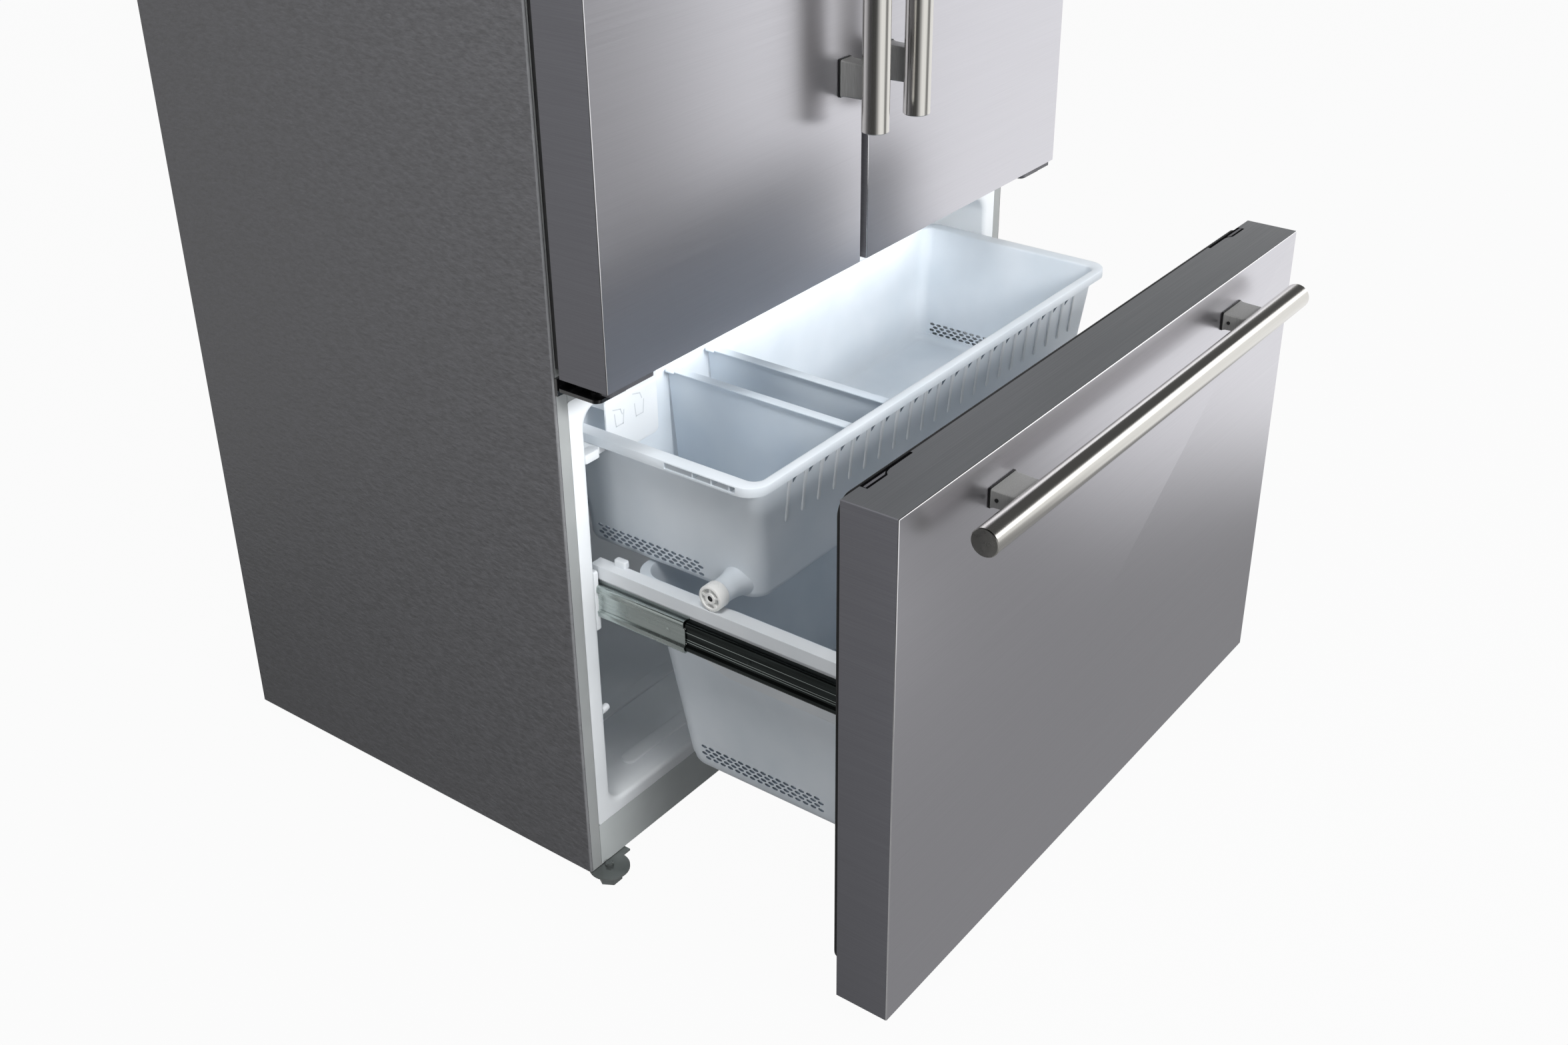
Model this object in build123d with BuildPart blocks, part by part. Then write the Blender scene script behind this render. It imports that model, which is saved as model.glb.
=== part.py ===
"""Refrigerator with two upper doors and a pull-out freezer drawer, as separate pieces.

Units are millimetres. +X is to the right as one faces the doors, +Y points to the back and +Z up.
The origin is on the floor, midway across, and midway between the open drawer's handle and the back.
Depths in the code are measured backwards from the front plane of the case, so a door has negative
depths. The drawer stands open by drawer_open, with the upper basket part of the way out.
"""
from math import cos, pi, radians, sin, tan
import os

from build123d import *

os.makedirs("parts", exist_ok=True)

# ---- Overall sizes ----
case_width = 908
case_depth = 610
case_bottom = 22
case_top = 1752
doors_overhang = 1
door_thickness = 66
door_bottom = 685
door_head_gap = 2
door_split = 13
drawer_bottom = 35
drawer_top = 659
drawer_open = 353

# ---- Sheet, wall and gap sizes ----
sheet = 1.0
flange = 19
skin = 1.2
cap = 8
liner_wall = 2.5
gasket_depth = 11
gasket_clear = 0.4
gasket_wide = 14
seam = 0.5
running = 0.3
bead = 18
side_wall = 43
roof_wall = 60
back_wall = 65
freezer_back_wall = 140

# ---- Compartments ----
fridge_floor = 712
fridge_corner = 25
freezer_floor = 99
freezer_ceiling = 628
step_run = 50
step_top = 335
toe_top = 81
mullion_low = 648
mullion_high = 697
machine_space = 205
machine_top = 285
pan_height = 58

# ---- Handles ----
bar_radius = 15.75
bar_offset = 42
bar_fit = 0.1
bar_side_inset = 84
bar_head_inset = 148
post_wide = 26
post_long = 44
door_bar_low = 860
door_bar_across = 42
door_post_inset = 55
drawer_bar_drop = 50
drawer_post_inset = 93

# ---- Hinges ----
pin_inset = 19
pin_depth = -48
pin_radius = 5
pin_fit = 0.05
hinge_plate = 4
hinge_drop = 9

# ---- Slides and drawer frame ----
slide_height = 386
slide_half = 23
slide_front = 8
slide_back_gap = 30
member_back_gap = 70
member_front = 52
member_sheet = 1.4
member_gap = 0.6
slide_depth = 14.4
rail_top = 428
rail_inset = 10
rail_wide = 17
rail_back_gap = 30
rail_sheet = 2

# ---- Baskets ----
basket_wall = 2.5
basket_gap = 1
low_basket_bottom = 168
low_basket_inset = 10
low_basket_front = 14
low_basket_long = 318
low_basket_taper = 17
low_basket_lean = 43
up_basket_top = 584
up_basket_bottom = 421
up_basket_inset = 25
up_basket_shut = 5
up_basket_share = 214 / 353
up_basket_long = 289
up_rim = 17
up_front_rim = 10
up_skirt = 11
up_taper = 19
up_front_taper = 15
divider_inset = 191
divider_step = 75
divider_sheet = 2.5
divider_fold = 11
wheel_radius = 15.5
wheel_wide = 16
wheel_inset = 19
wheel_back = 53
stub_radius = 3

# ---- Feet and rollers ----
foot_inset = 24
foot_depth = -8
foot_radius = 15
foot_height = 16
pad_radius = 25
pad_low = 18.5
pad_sheet = 2.5
front_roller_radius = 24
front_roller_lift = 1.5
front_roller_depth = 75
rear_roller_radius = 20
rear_roller_inset = 100
roller_wide = 20
roller_inset = 42
axle_radius = 4

# ---- Shelves and drawers behind the doors ----
shelf_low = 1180
shelf_pitch = 240
shelf_front = 150
shelf_back_gap = 30
shelf_thick = 14
shelf_edge = 14
glass = 4
glass_seat = 6
crisper_low = 775
crisper_high = 965
crisper_flange = 938
crisper_front = 125
crisper_back_gap = 45
crisper_cover_high = 990
bin_low = 1005
bin_pitch = 230
bin_tall = 95
bin_out = 95
dyke_out = 25
dyke_wide = 22
dyke_clear = 13
latch_edge = 52

# ---- Values that follow from the sizes above ----
case_half = case_width / 2
doors_width = case_width + 2 * doors_overhang
doors_half = doors_width / 2
door_top = case_top - door_head_gap
cavity_half = case_half - side_wall
fridge_ceiling = case_top - roof_wall
fridge_depth = case_depth - back_wall
freezer_depth = case_depth - freezer_back_wall
machine_front = case_depth - machine_space
step_nose = machine_front - 55
step_toe = step_nose - step_run
cover_depth = freezer_depth - 110
lip_half = case_half - flange - seam

door_front = -(gasket_depth + door_thickness)
drawer_back = -(drawer_open + gasket_depth)
drawer_front = drawer_back - door_thickness
front_reach = -drawer_front + bar_offset + bar_radius
front_y = (front_reach - case_depth) / 2

bar_length = doors_width - 2 * bar_side_inset
door_bar_length = door_top - bar_head_inset - door_bar_low
drawer_bar_height = drawer_top - drawer_bar_drop
drawer_post_across = bar_length / 2 - drawer_post_inset
pin_across = doors_half - pin_inset

slide_length = freezer_depth - slide_back_gap - slide_front
member_length = freezer_depth - member_back_gap
rail_outer = cavity_half - rail_inset
rail_inner = rail_outer - rail_wide
rail_length = member_length - rail_back_gap
low_basket_top = up_basket_bottom - basket_gap
low_basket_half = rail_inner - low_basket_inset
low_basket_start = drawer_back + low_basket_front
low_basket_ends = (low_basket_start, low_basket_start + low_basket_long)
up_basket_half = cavity_half - up_basket_inset
up_basket_front = up_basket_shut - up_basket_share * drawer_open
up_basket_ends = (up_basket_front, up_basket_front + up_basket_long)
divider_across = (divider_inset - up_basket_half, divider_inset + divider_step - up_basket_half)
wheel_across = cavity_half - wheel_inset
wheel_depth = up_basket_front + wheel_back
wheel_height = rail_top + running + wheel_radius

foot_across = case_half - foot_inset
roller_across = case_half - roller_inset
rear_roller_depth = case_depth - rear_roller_inset
shelf_back = fridge_depth - shelf_back_gap
crisper_back = fridge_depth - crisper_back_gap
crisper_runner = crisper_flange - running
shelf_count = round((fridge_ceiling - shelf_low) / shelf_pitch)
shelf_heights = [shelf_low + shelf_pitch * level for level in range(shelf_count)]
bin_count = round((fridge_ceiling - bin_low) / bin_pitch)
bin_heights = [bin_low + bin_pitch * level for level in range(bin_count)]
SIDES = {"left": -1, "right": 1}


def block(across, depth, height, mode=Mode.ADD):
    """Box between two places across, two depths and two heights."""
    middle = (sum(across) / 2, front_y + sum(depth) / 2, sum(height) / 2)
    with Locations(middle):
        Box(
            abs(across[1] - across[0]),
            abs(depth[1] - depth[0]),
            abs(height[1] - height[0]),
            mode=mode,
        )


def rod(axis, centre, radius, length, mode=Mode.ADD):
    """Round bar along X, Y or Z about its middle, given as across, depth, height."""
    turn = {"x": (0, 90, 0), "y": (90, 0, 0), "z": (0, 0, 0)}[axis]
    middle = (centre[0], front_y + centre[1], centre[2])
    with Locations(Location(middle, turn)):
        Cylinder(radius, length, mode=mode)


def front_plane(across, depth, height):
    """Plane that faces the front, with its X to the right and its Y up."""
    return Plane(origin=(across, front_y + depth, height), x_dir=(1, 0, 0), z_dir=(0, -1, 0))


def plate(across, depth, height, corner, mode=Mode.ADD):
    """Slab whose four corners, seen from the front, are rounded."""
    middle = (sum(across) / 2, sum(height) / 2)
    with BuildSketch(front_plane(middle[0], depth[0], middle[1])) as outline:
        RectangleRounded(abs(across[1] - across[0]), abs(height[1] - height[0]), corner)
    extrude(outline.sketch, amount=-(depth[1] - depth[0]), mode=mode)


def slab(across, depth, height, corner, mode=Mode.ADD):
    """Slab whose four corners, seen from above, are rounded."""
    middle = (sum(across) / 2, front_y + sum(depth) / 2, height[0])
    with BuildSketch(Plane(origin=middle)) as outline:
        RectangleRounded(abs(across[1] - across[0]), abs(depth[1] - depth[0]), corner)
    extrude(outline.sketch, amount=height[1] - height[0], mode=mode)


def tub(half, depth, height, low_half, low_depth, corner, mode=Mode.ADD):
    """Tapered solid from a smaller level rounded rectangle up to a larger one."""
    faces = []
    for wide, ends, level in ((low_half, low_depth, height[0]), (half, depth, height[1])):
        with BuildSketch(Plane(origin=(0, front_y + sum(ends) / 2, level))) as outline:
            RectangleRounded(2 * wide, ends[1] - ends[0], corner)
        faces.append(outline.sketch.face())
    loft(faces, ruled=True, mode=mode)


def ring(across, depth, height, wide, corner, mode=Mode.ADD):
    """Rounded rectangular frame, seen from the front, with one width all round."""
    middle = (sum(across) / 2, sum(height) / 2)
    size = (abs(across[1] - across[0]), abs(height[1] - height[0]))
    with BuildSketch(front_plane(middle[0], depth[0], middle[1])) as outline:
        RectangleRounded(size[0], size[1], corner + wide)
        RectangleRounded(size[0] - 2 * wide, size[1] - 2 * wide, corner, mode=Mode.SUBTRACT)
    extrude(outline.sketch, amount=-(depth[1] - depth[0]), mode=mode)


def spoke(axis, centre, angle, ends, wide, thick):
    """Flat bar that runs outwards from an axis along X or Y, between two distances."""
    facing = (1, 0, 0) if axis == "x" else (0, 1, 0)
    outwards = (0, cos(angle), sin(angle)) if axis == "x" else (cos(angle), 0, sin(angle))
    reach = sum(ends) / 2
    middle = (
        centre[0] + reach * outwards[0],
        front_y + centre[1] + reach * outwards[1],
        centre[2] + reach * outwards[2],
    )
    with Locations(Plane(origin=middle, x_dir=outwards, z_dir=facing)):
        Box(ends[1] - ends[0], wide, thick)


def finish(piece, name):
    """Names a finished piece and writes it."""
    piece.part.label = name
    export_step(piece.part, f"parts/{name}.step")


def freezer_hollow(grow, mode=Mode.ADD):
    """Freezer compartment with its raised floor over the machine space, grown by a wall."""
    points = (
        (-liner_wall, freezer_floor),
        (step_toe, freezer_floor),
        (step_nose, step_top),
        (freezer_depth, step_top),
        (freezer_depth, freezer_ceiling),
        (-liner_wall, freezer_ceiling),
    )
    side = Plane(origin=(0, front_y, 0), x_dir=(0, 1, 0), z_dir=(1, 0, 0))
    with BuildSketch(side) as outline:
        with BuildLine():
            Polyline(*points, close=True)
        make_face()
        if grow:
            offset(amount=grow, kind=Kind.INTERSECTION)
    extrude(outline.sketch, amount=cavity_half + grow, both=True, mode=mode)


# ================= Case =================

with BuildPart() as outer_case:
    plate((-case_half, case_half), (0, case_depth), (case_bottom - bead, case_top), 4)
    inner_half = case_half - sheet
    plate((-inner_half, inner_half), (sheet, case_depth + 1), (case_bottom - bead, case_top - sheet), 3,
          Mode.SUBTRACT)
    mouth_half = case_half - flange
    block((-mouth_half, mouth_half), (-1, 2), (case_bottom - 2 * bead, case_top - flange), Mode.SUBTRACT)
    block((-case_width, case_width), (-1, case_depth + 2), (case_bottom - 2 * bead, case_bottom),
          Mode.SUBTRACT)
finish(outer_case, "outer_case")

with BuildPart() as rear_panel:
    back_half = case_half - sheet - seam
    plate((-back_half, back_half), (case_depth - sheet, case_depth),
          (machine_top + 2, case_top - sheet - seam), 4)
    for level in range(int((case_top - machine_top - 240) / 260) + 1):
        rib = machine_top + 180 + level * 260
        block((60 - back_half, back_half - 60), (case_depth - sheet, case_depth - sheet / 2), (rib, rib + 40))
finish(rear_panel, "rear_panel")

with BuildPart() as foam_insulation:
    foam_half = case_half - sheet
    block((-foam_half, foam_half), (liner_wall, case_depth - sheet), (pan_height, case_top - 5))
    block(
        (-case_half, case_half),
        (machine_front, case_depth),
        (pan_height - 1, machine_top),
        Mode.SUBTRACT,
    )
    grown = cavity_half + liner_wall
    plate(
        (-grown, grown),
        (-1, fridge_depth + liner_wall),
        (fridge_floor - liner_wall, fridge_ceiling + liner_wall),
        fridge_corner + liner_wall,
        Mode.SUBTRACT,
    )
    freezer_hollow(liner_wall, Mode.SUBTRACT)
finish(foam_insulation, "foam_insulation")

with BuildPart() as fridge_liner:
    plate(
        (-grown, grown),
        (0, fridge_depth + liner_wall),
        (fridge_floor - liner_wall, fridge_ceiling + liner_wall),
        fridge_corner + liner_wall,
    )
    block((-lip_half, lip_half), (0, liner_wall), (mullion_high + seam, case_top - flange - seam))
    plate(
        (-cavity_half, cavity_half),
        (-1, fridge_depth),
        (fridge_floor, fridge_ceiling),
        fridge_corner,
        Mode.SUBTRACT,
    )
    for side in (-1, 1):
        ledge = crisper_cover_high - shelf_thick - running
        block(
            (side * cavity_half, side * (cavity_half - 10)),
            (crisper_front, crisper_back),
            (ledge - 8, ledge),
        )
        block(
            (side * cavity_half, side * (cavity_half - 10)),
            (crisper_front, crisper_back),
            (crisper_runner - 6, crisper_runner),
        )
finish(fridge_liner, "fridge_liner")

rim_ledge = up_basket_top - up_skirt - running
with BuildPart() as freezer_liner:
    freezer_hollow(liner_wall)
    block((-case_width, case_width), (-2 * liner_wall - 1, 0), (0, case_top), Mode.SUBTRACT)
    block((-lip_half, lip_half), (0, liner_wall), (toe_top + seam, mullion_low - seam))
    freezer_hollow(0, Mode.SUBTRACT)
    for side in (-1, 1):
        block(
            (side * cavity_half, side * (up_basket_half - 11)),
            (5, 310),
            (rim_ledge - 8, rim_ledge),
        )
        rod("x", (side * (cavity_half - 6), 8, 236), 5, 13)
finish(freezer_liner, "freezer_liner")

with BuildPart() as mullion_rail:
    block((-lip_half, lip_half), (0, sheet), (mullion_low, mullion_high))
    for height in (mullion_low + 12, mullion_high - 12 - sheet):
        block((-lip_half + 5, lip_half - 5), (0, liner_wall), (height, height + sheet))
finish(mullion_rail, "mullion_rail")

with BuildPart() as toe_rail:
    block((-lip_half, lip_half), (0, sheet), (case_bottom, toe_top))
    block((-lip_half, lip_half), (0, liner_wall), (toe_top - sheet, toe_top))
    block((-lip_half + 60, lip_half - 60), (0, 14), (case_bottom, case_bottom + sheet))
finish(toe_rail, "toe_rail")

# ================= Base, feet and rollers =================

ear_gap = roller_wide / 2 + 1
pad_top = pad_low + pad_sheet
with BuildPart() as base_frame:
    base_half = case_half - sheet - seam
    block((-base_half, base_half), (liner_wall, machine_front), (pan_height - 1.5, pan_height))
    block((-base_half, base_half), (machine_front - 1.5, machine_front), (case_bottom + 18, pan_height))
    block((-base_half, base_half), (machine_front - 1.5, case_depth - 4),
          (case_bottom + 18, case_bottom + 20))
    for side in (-1, 1):
        block((side * (foot_across - 38), side * (foot_across + 16)), (foot_depth, 124), (pad_low, pad_top))
        with Locations((side * foot_across, front_y + foot_depth, pad_low + pad_sheet / 2)):
            Cylinder(pad_radius, pad_sheet)
        block(
            (side * (roller_across - ear_gap), side * (roller_across + ear_gap)),
            (front_roller_depth - 30, front_roller_depth + 30),
            (pad_low - 1, pad_top + 1),
            Mode.SUBTRACT,
        )
        for face in (-1, 1):
            near = side * roller_across + face * ear_gap
            ear = (near, near + face * 2)
            block(ear, (front_roller_depth - 34, front_roller_depth + 34), (pad_low, pan_height - 1.5))
            block(ear, (rear_roller_depth - 18, rear_roller_depth + 18), (14, case_bottom + 18))
        front_axle = (side * roller_across, front_roller_depth, front_roller_radius + front_roller_lift)
        rear_axle = (side * roller_across, rear_roller_depth, rear_roller_radius)
        for axle in (front_axle, rear_axle):
            rod("x", axle, axle_radius, 2 * ear_gap + 6)
        with Locations((side * foot_across, front_y + foot_depth, pad_low)):
            Cylinder(pin_radius + pin_fit, 30, mode=Mode.SUBTRACT)
finish(base_frame, "base_frame")

for name, side in SIDES.items():
    with BuildPart() as levelling_foot:
        with BuildSketch(Plane(origin=(side * foot_across, front_y + foot_depth, 0))):
            RegularPolygon(foot_radius, 6)
        extrude(amount=foot_height)
        rod("z", (side * foot_across, foot_depth, foot_height + 5), pin_radius, 10)
        chamfer(levelling_foot.edges().filter_by(Plane.XY).group_by(Axis.Z)[0], 1.5)
        chamfer(levelling_foot.edges().filter_by(Plane.XY).group_by(Axis.Z)[-1], 1.5)
    finish(levelling_foot, f"levelling_foot_{name}")

roller_pairs = {
    "front_rollers": (front_roller_depth, front_roller_radius + front_roller_lift, front_roller_radius),
    "rear_rollers": (rear_roller_depth, rear_roller_radius, rear_roller_radius),
}
for name, (depth, height, radius) in roller_pairs.items():
    with BuildPart() as rollers:
        for side in (-1, 1):
            hub = (side * roller_across, depth, height)
            rod("x", hub, radius, roller_wide)
            for face in (-1, 1):
                groove = (hub[0] + face * roller_wide / 2, depth, height)
                rod("x", groove, radius - 4, 6, Mode.SUBTRACT)
                rod("x", (hub[0] + face * (roller_wide / 2 - 1.5), depth, height), 8, 3)
            rod("x", hub, axle_radius + 0.06, roller_wide + 2, Mode.SUBTRACT)
    finish(rollers, name)

# ================= Cooling machine =================

tray_top = case_bottom + 20
inlet_across = case_half - 42
inlet_height = machine_top - 37
with BuildPart() as machine_cover:
    cover_half = case_half - 14
    block((-cover_half, cover_half), (case_depth - 4, case_depth - 2), (tray_top - 1.7, machine_top - 1))
    for area in (184 - case_half, case_half - 264):
        with BuildSketch(front_plane(area, case_depth, 165)) as vents:
            with GridLocations(22, 40, 14, 4):
                SlotOverall(34, 7, rotation=90)
        extrude(vents.sketch, amount=8, both=True, mode=Mode.SUBTRACT)
    block((inlet_across - 16, inlet_across + 16), (case_depth - 6, case_depth),
          (inlet_height - 11, inlet_height + 11), Mode.SUBTRACT)
finish(machine_cover, "machine_cover")

compressor_across = 169 - case_half
compressor_depth = case_depth - 102
with BuildPart() as compressor:
    middle = (compressor_across, front_y + compressor_depth)
    with BuildSketch(Plane(origin=(*middle, tray_top + 12))):
        Ellipse(88, 68)
    extrude(amount=148)
    fillet(compressor.edges().filter_by(Plane.XY).group_by(Axis.Z)[-1], 40)
    fillet(compressor.edges().filter_by(Plane.XY).group_by(Axis.Z)[0], 10)
    with BuildSketch(Plane(origin=(*middle, tray_top + 84))):
        Ellipse(92, 72)
    extrude(amount=6)
    block((compressor_across - 104, compressor_across + 104), (compressor_depth - 52, compressor_depth + 52),
          (tray_top + 8, tray_top + 13))
    for across in (-90, 90):
        for back in (-40, 40):
            foot = (compressor_across + across, compressor_depth + back, tray_top + 6)
            rod("z", foot, 11, 12)
    block((compressor_across + 80, compressor_across + 118), (compressor_depth - 28, compressor_depth + 28),
          (tray_top + 60, tray_top + 125))
    rod("x", (compressor_across - 95, compressor_depth + 20, tray_top + 110), 4, 40)
    rod("x", (compressor_across - 95, compressor_depth - 20, tray_top + 70), 4, 40)
finish(compressor, "compressor")

coil_low = tray_top + 4
coil_near = 60
coil_far = case_half - 82
coil_front = machine_front + 23
coil_fin_gap = 23
with BuildPart() as condenser_coil:
    for across in (coil_near, coil_far):
        block((across, across + 3), (coil_front, coil_front + 164), (tray_top, coil_low + 170))
    for row in range(6):
        for column in range(6):
            middle = ((coil_near + coil_far) / 2, coil_front + 14 + column * 27, coil_low + 16 + row * 28)
            rod("x", middle, 3, coil_far - coil_near)
    for fin in range(int((coil_far - coil_near - 36) / coil_fin_gap)):
        across = coil_near + 24 + fin * coil_fin_gap
        block((across, across + 1), (coil_front + 6, coil_front + 158), (coil_low + 6, coil_low + 164))
finish(condenser_coil, "condenser_coil")

fan_across = 0
fan_height = tray_top + 95
fan_depth = case_depth - 100
with BuildPart() as fan_shroud:
    block((fan_across - 3, fan_across + 3), (fan_depth - 84, fan_depth + 84), (tray_top, tray_top + 180))
    rod("x", (fan_across, fan_depth, fan_height), 70, 20, Mode.SUBTRACT)
    for leg in range(3):
        angle = radians(90 + leg * 120)
        spoke("x", (fan_across - 24, fan_depth, fan_height), angle, (25, 79), 10, 5)
        spoke("x", (fan_across - 12, fan_depth, fan_height), angle, (71, 79), 10, 26)
    rod("x", (fan_across - 36, fan_depth, fan_height), 30, 28)
    rod("x", (fan_across - 8, fan_depth, fan_height), 3, 40)
finish(fan_shroud, "fan_shroud")


def fan(name, axis, centre, radius, hub_radius, shaft, thick, blades):
    """Fan with pitched blades about a bored hub, on the shaft of its motor."""
    facing = {"x": Plane.YZ, "y": Plane.XZ}[axis]
    middle = (centre[0], front_y + centre[1], centre[2])
    with BuildPart(Plane(origin=middle, x_dir=facing.x_dir, z_dir=facing.z_dir)) as wheel:
        Cylinder(hub_radius, thick)
        for blade in range(blades):
            with Locations(Location((0, 0, 0), (0, 0, blade * 360 / blades))):
                with Locations(Location(((radius + hub_radius) / 2 - 1, 0, 0), (28, 0, 0))):
                    Box(radius - hub_radius - 1, radius * 0.62, 1.6)
        Cylinder(radius, thick, mode=Mode.INTERSECT)
        Cylinder(shaft + 0.06, thick + 2, mode=Mode.SUBTRACT)
    finish(wheel, name)


fan("condenser_fan", "x", (fan_across + 1, fan_depth, fan_height), 66, 18, 3, 22, 5)

# ================= Evaporator and freezer back =================

fan_centre = freezer_ceiling - 56
with BuildPart() as evaporator_cover:
    cover_half = rail_inner - 10
    block((-cover_half, cover_half), (cover_depth, cover_depth + 3),
          (step_top + running, freezer_ceiling - 2))
    for side in (-1, 1):
        block((side * cover_half, side * (cover_half - 3)), (cover_depth, freezer_depth - running),
              (step_top + running, freezer_ceiling - 2))
    rod("y", (0, cover_depth, fan_centre), 48, 12, Mode.SUBTRACT)
    with BuildSketch(front_plane(0, cover_depth - 4, step_top + 50)) as vents:
        with GridLocations(60, 22, 9, 2):
            SlotOverall(44, 8)
    extrude(vents.sketch, amount=-12, mode=Mode.SUBTRACT)
    rod("y", (0, cover_depth + 44, fan_centre), 22, 26)
    rod("y", (0, cover_depth + 22, fan_centre), 3, 34)
    for leg in range(3):
        angle = radians(30 + leg * 120)
        spoke("y", (0, cover_depth + 46, fan_centre), angle, (18, 57), 8, 5)
        spoke("y", (0, cover_depth + 25, fan_centre), angle, (49, 57), 8, 47)
finish(evaporator_cover, "evaporator_cover")

fan("evaporator_fan", "y", (0, cover_depth + 14, fan_centre), 44, 14, 3, 16, 4)

coil_half = cavity_half - 91
with BuildPart() as evaporator:
    for row in range(4):
        for column in range(2):
            middle = (0, cover_depth + 40 + column * 30, step_top + 30 + row * 34)
            rod("x", middle, 4, 2 * coil_half)
    for fin in range(int(2 * coil_half / 30)):
        across = 20 - coil_half + fin * 30
        block((across, across + 1), (cover_depth + 26, cover_depth + 84), (step_top + 15, step_top + 149))
    for side in (-1, 1):
        block((side * coil_half, side * (coil_half + 2)), (cover_depth + 20, freezer_depth - running),
              (step_top + running, step_top + 155))
finish(evaporator, "evaporator")

# ================= Ice maker =================

ice_left = 42 - up_basket_half
ice_right = ice_left + 82
ear_depths = (74, 236)
mould_top = freezer_ceiling - 6
mould_low = mould_top - 30
arm_across = ice_right + 8
arm_height = mould_low + 16
arm_radius = 1.6
with BuildPart() as ice_maker:
    block((ice_left, ice_right), (34, 286), (mould_low, mould_top))
    for ends in ((34, 60), (262, 286)):
        block((ice_left + 4, ice_right - 4), ends, (mould_top - 14, freezer_ceiling - running))
    block((ice_left + 5, ice_right - 5), (74, 276), (mould_low + 8, freezer_ceiling + 1), Mode.SUBTRACT)
    for cube in range(6):
        depth = 102 + cube * 29
        block((ice_left + 3, ice_right - 3), (depth, depth + 2), (mould_low + 6, mould_top - 2))
    for depth in ear_depths:
        block((ice_right - 2, arm_across + 4), (depth, depth + 4), (arm_height - 5, arm_height + 5))
        rod("y", (arm_across, depth + 2, arm_height), arm_radius + 0.1, 8, Mode.SUBTRACT)
finish(ice_maker, "ice_maker")

apron_low = up_basket_top - 51
with BuildPart() as ice_maker_cover:
    plate((ice_left - 2, ice_right + 4), (30, 33), (apron_low, mould_top + 2), 8)
    block((ice_left, ice_right), (32.5, 34), (mould_low + 4, mould_top - 4))
finish(ice_maker_cover, "ice_maker_cover")

with BuildPart() as bail_arm:
    reach = arm_across + 47
    with BuildLine(Plane(origin=(0, front_y, arm_height))) as route:
        FilletPolyline((arm_across, 60), (reach, 60), (reach, 250), (arm_across, 250), radius=8, close=True)
    with BuildSketch(Plane(origin=route.line @ 0, z_dir=route.line % 0)):
        Circle(arm_radius)
    sweep()
finish(bail_arm, "bail_arm")

# ================= Behind the upper doors =================

duct_top = fridge_ceiling - 52
with BuildPart() as air_duct:
    block((-70, 70), (fridge_depth - 22, fridge_depth), (fridge_floor + 48, duct_top))
    fillet(air_duct.edges().filter_by(Axis.Z).group_by(Axis.Y)[0], 10)
    outlet_rows = int((duct_top - crisper_cover_high - 100) / 110)
    outlet_middle = duct_top - 65 - outlet_rows * 55
    with BuildSketch(front_plane(0, fridge_depth - 30, outlet_middle)) as outlets:
        with GridLocations(70, 110, 2, outlet_rows):
            SlotOverall(46, 9)
    extrude(outlets.sketch, amount=-14, mode=Mode.SUBTRACT)
finish(air_duct, "air_duct")

ladder_near = 86
ladder_far = cavity_half - 19
ladder_low = crisper_cover_high + 50
with BuildPart() as shelf_ladders:
    for across in (-ladder_far, -ladder_near, ladder_near, ladder_far):
        block((across - 7, across + 7), (fridge_depth - 9, fridge_depth), (ladder_low, duct_top))
        for notch in range(int((duct_top - ladder_low - 34) / 42) + 1):
            height = ladder_low + 20 + notch * 42
            block((across - 3, across + 3), (fridge_depth - 10, fridge_depth - 4), (height, height + 14),
                  Mode.SUBTRACT)
finish(shelf_ladders, "shelf_ladders")

with BuildPart() as shelf_frames:
    for side in (-1, 1):
        for height in shelf_heights:
            ends = (side * 6, side * (cavity_half - 6))
            slab(ends, (shelf_front, shelf_back), (height - shelf_thick, height), 8)
            inside = (side * (4 + shelf_edge), side * (cavity_half - 4 - shelf_edge))
            slab(inside, (shelf_front + shelf_edge, shelf_back - shelf_edge),
                 (height - shelf_thick - 1, height + 1), 5, Mode.SUBTRACT)
            seat = (height - glass_seat - 2, height - glass_seat)
            block(inside, (shelf_front + 4, shelf_front + 20), seat)
            block(inside, (shelf_back - 20, shelf_back - 4), seat)
            for across in (ladder_near, ladder_far):
                block((side * across - 2.5, side * across + 2.5), (shelf_back - 60, fridge_depth - 9),
                      (height - 40, height - 10))
finish(shelf_frames, "shelf_frames")

cover_low = crisper_cover_high - shelf_thick
with BuildPart() as crisper_cover:
    wide = cavity_half - 2
    slab((-wide, wide), (crisper_front, shelf_back), (cover_low, crisper_cover_high), 8)
    slab((shelf_edge - wide, wide - shelf_edge), (crisper_front + shelf_edge, shelf_back - shelf_edge),
         (cover_low - 1, crisper_cover_high + 1), 5, Mode.SUBTRACT)
    cover_seat = crisper_cover_high - glass_seat
    for depth in (crisper_front + 8, shelf_back - 24):
        block((-wide + 12, wide - 12), (depth, depth + 16), (cover_seat - 2, cover_seat))
    block((-12, 12), (crisper_front + 8, shelf_back - 8), (cover_low, cover_seat))
    block((-3, 3), (crisper_front + 8, shelf_back - 8), (crisper_runner - 12, cover_low + 1))
    for side in (-1, 1):
        block((side * 2, side * 12), (crisper_front + 8, shelf_back - 8),
              (crisper_runner - 4, crisper_runner))
finish(crisper_cover, "crisper_cover")

pane = shelf_edge + seam
with BuildPart() as shelf_glass:
    for side in (-1, 1):
        for height in shelf_heights:
            low = height - glass_seat + running
            slab((side * (4 + pane), side * (cavity_half - 4 - pane)),
                 (shelf_front + pane, shelf_back - pane), (low, low + glass), 4)
    low = crisper_cover_high - glass_seat + running
    slab((pane - wide, wide - pane), (crisper_front + pane, shelf_back - pane), (low, low + glass), 4)
finish(shelf_glass, "shelf_glass")

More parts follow.
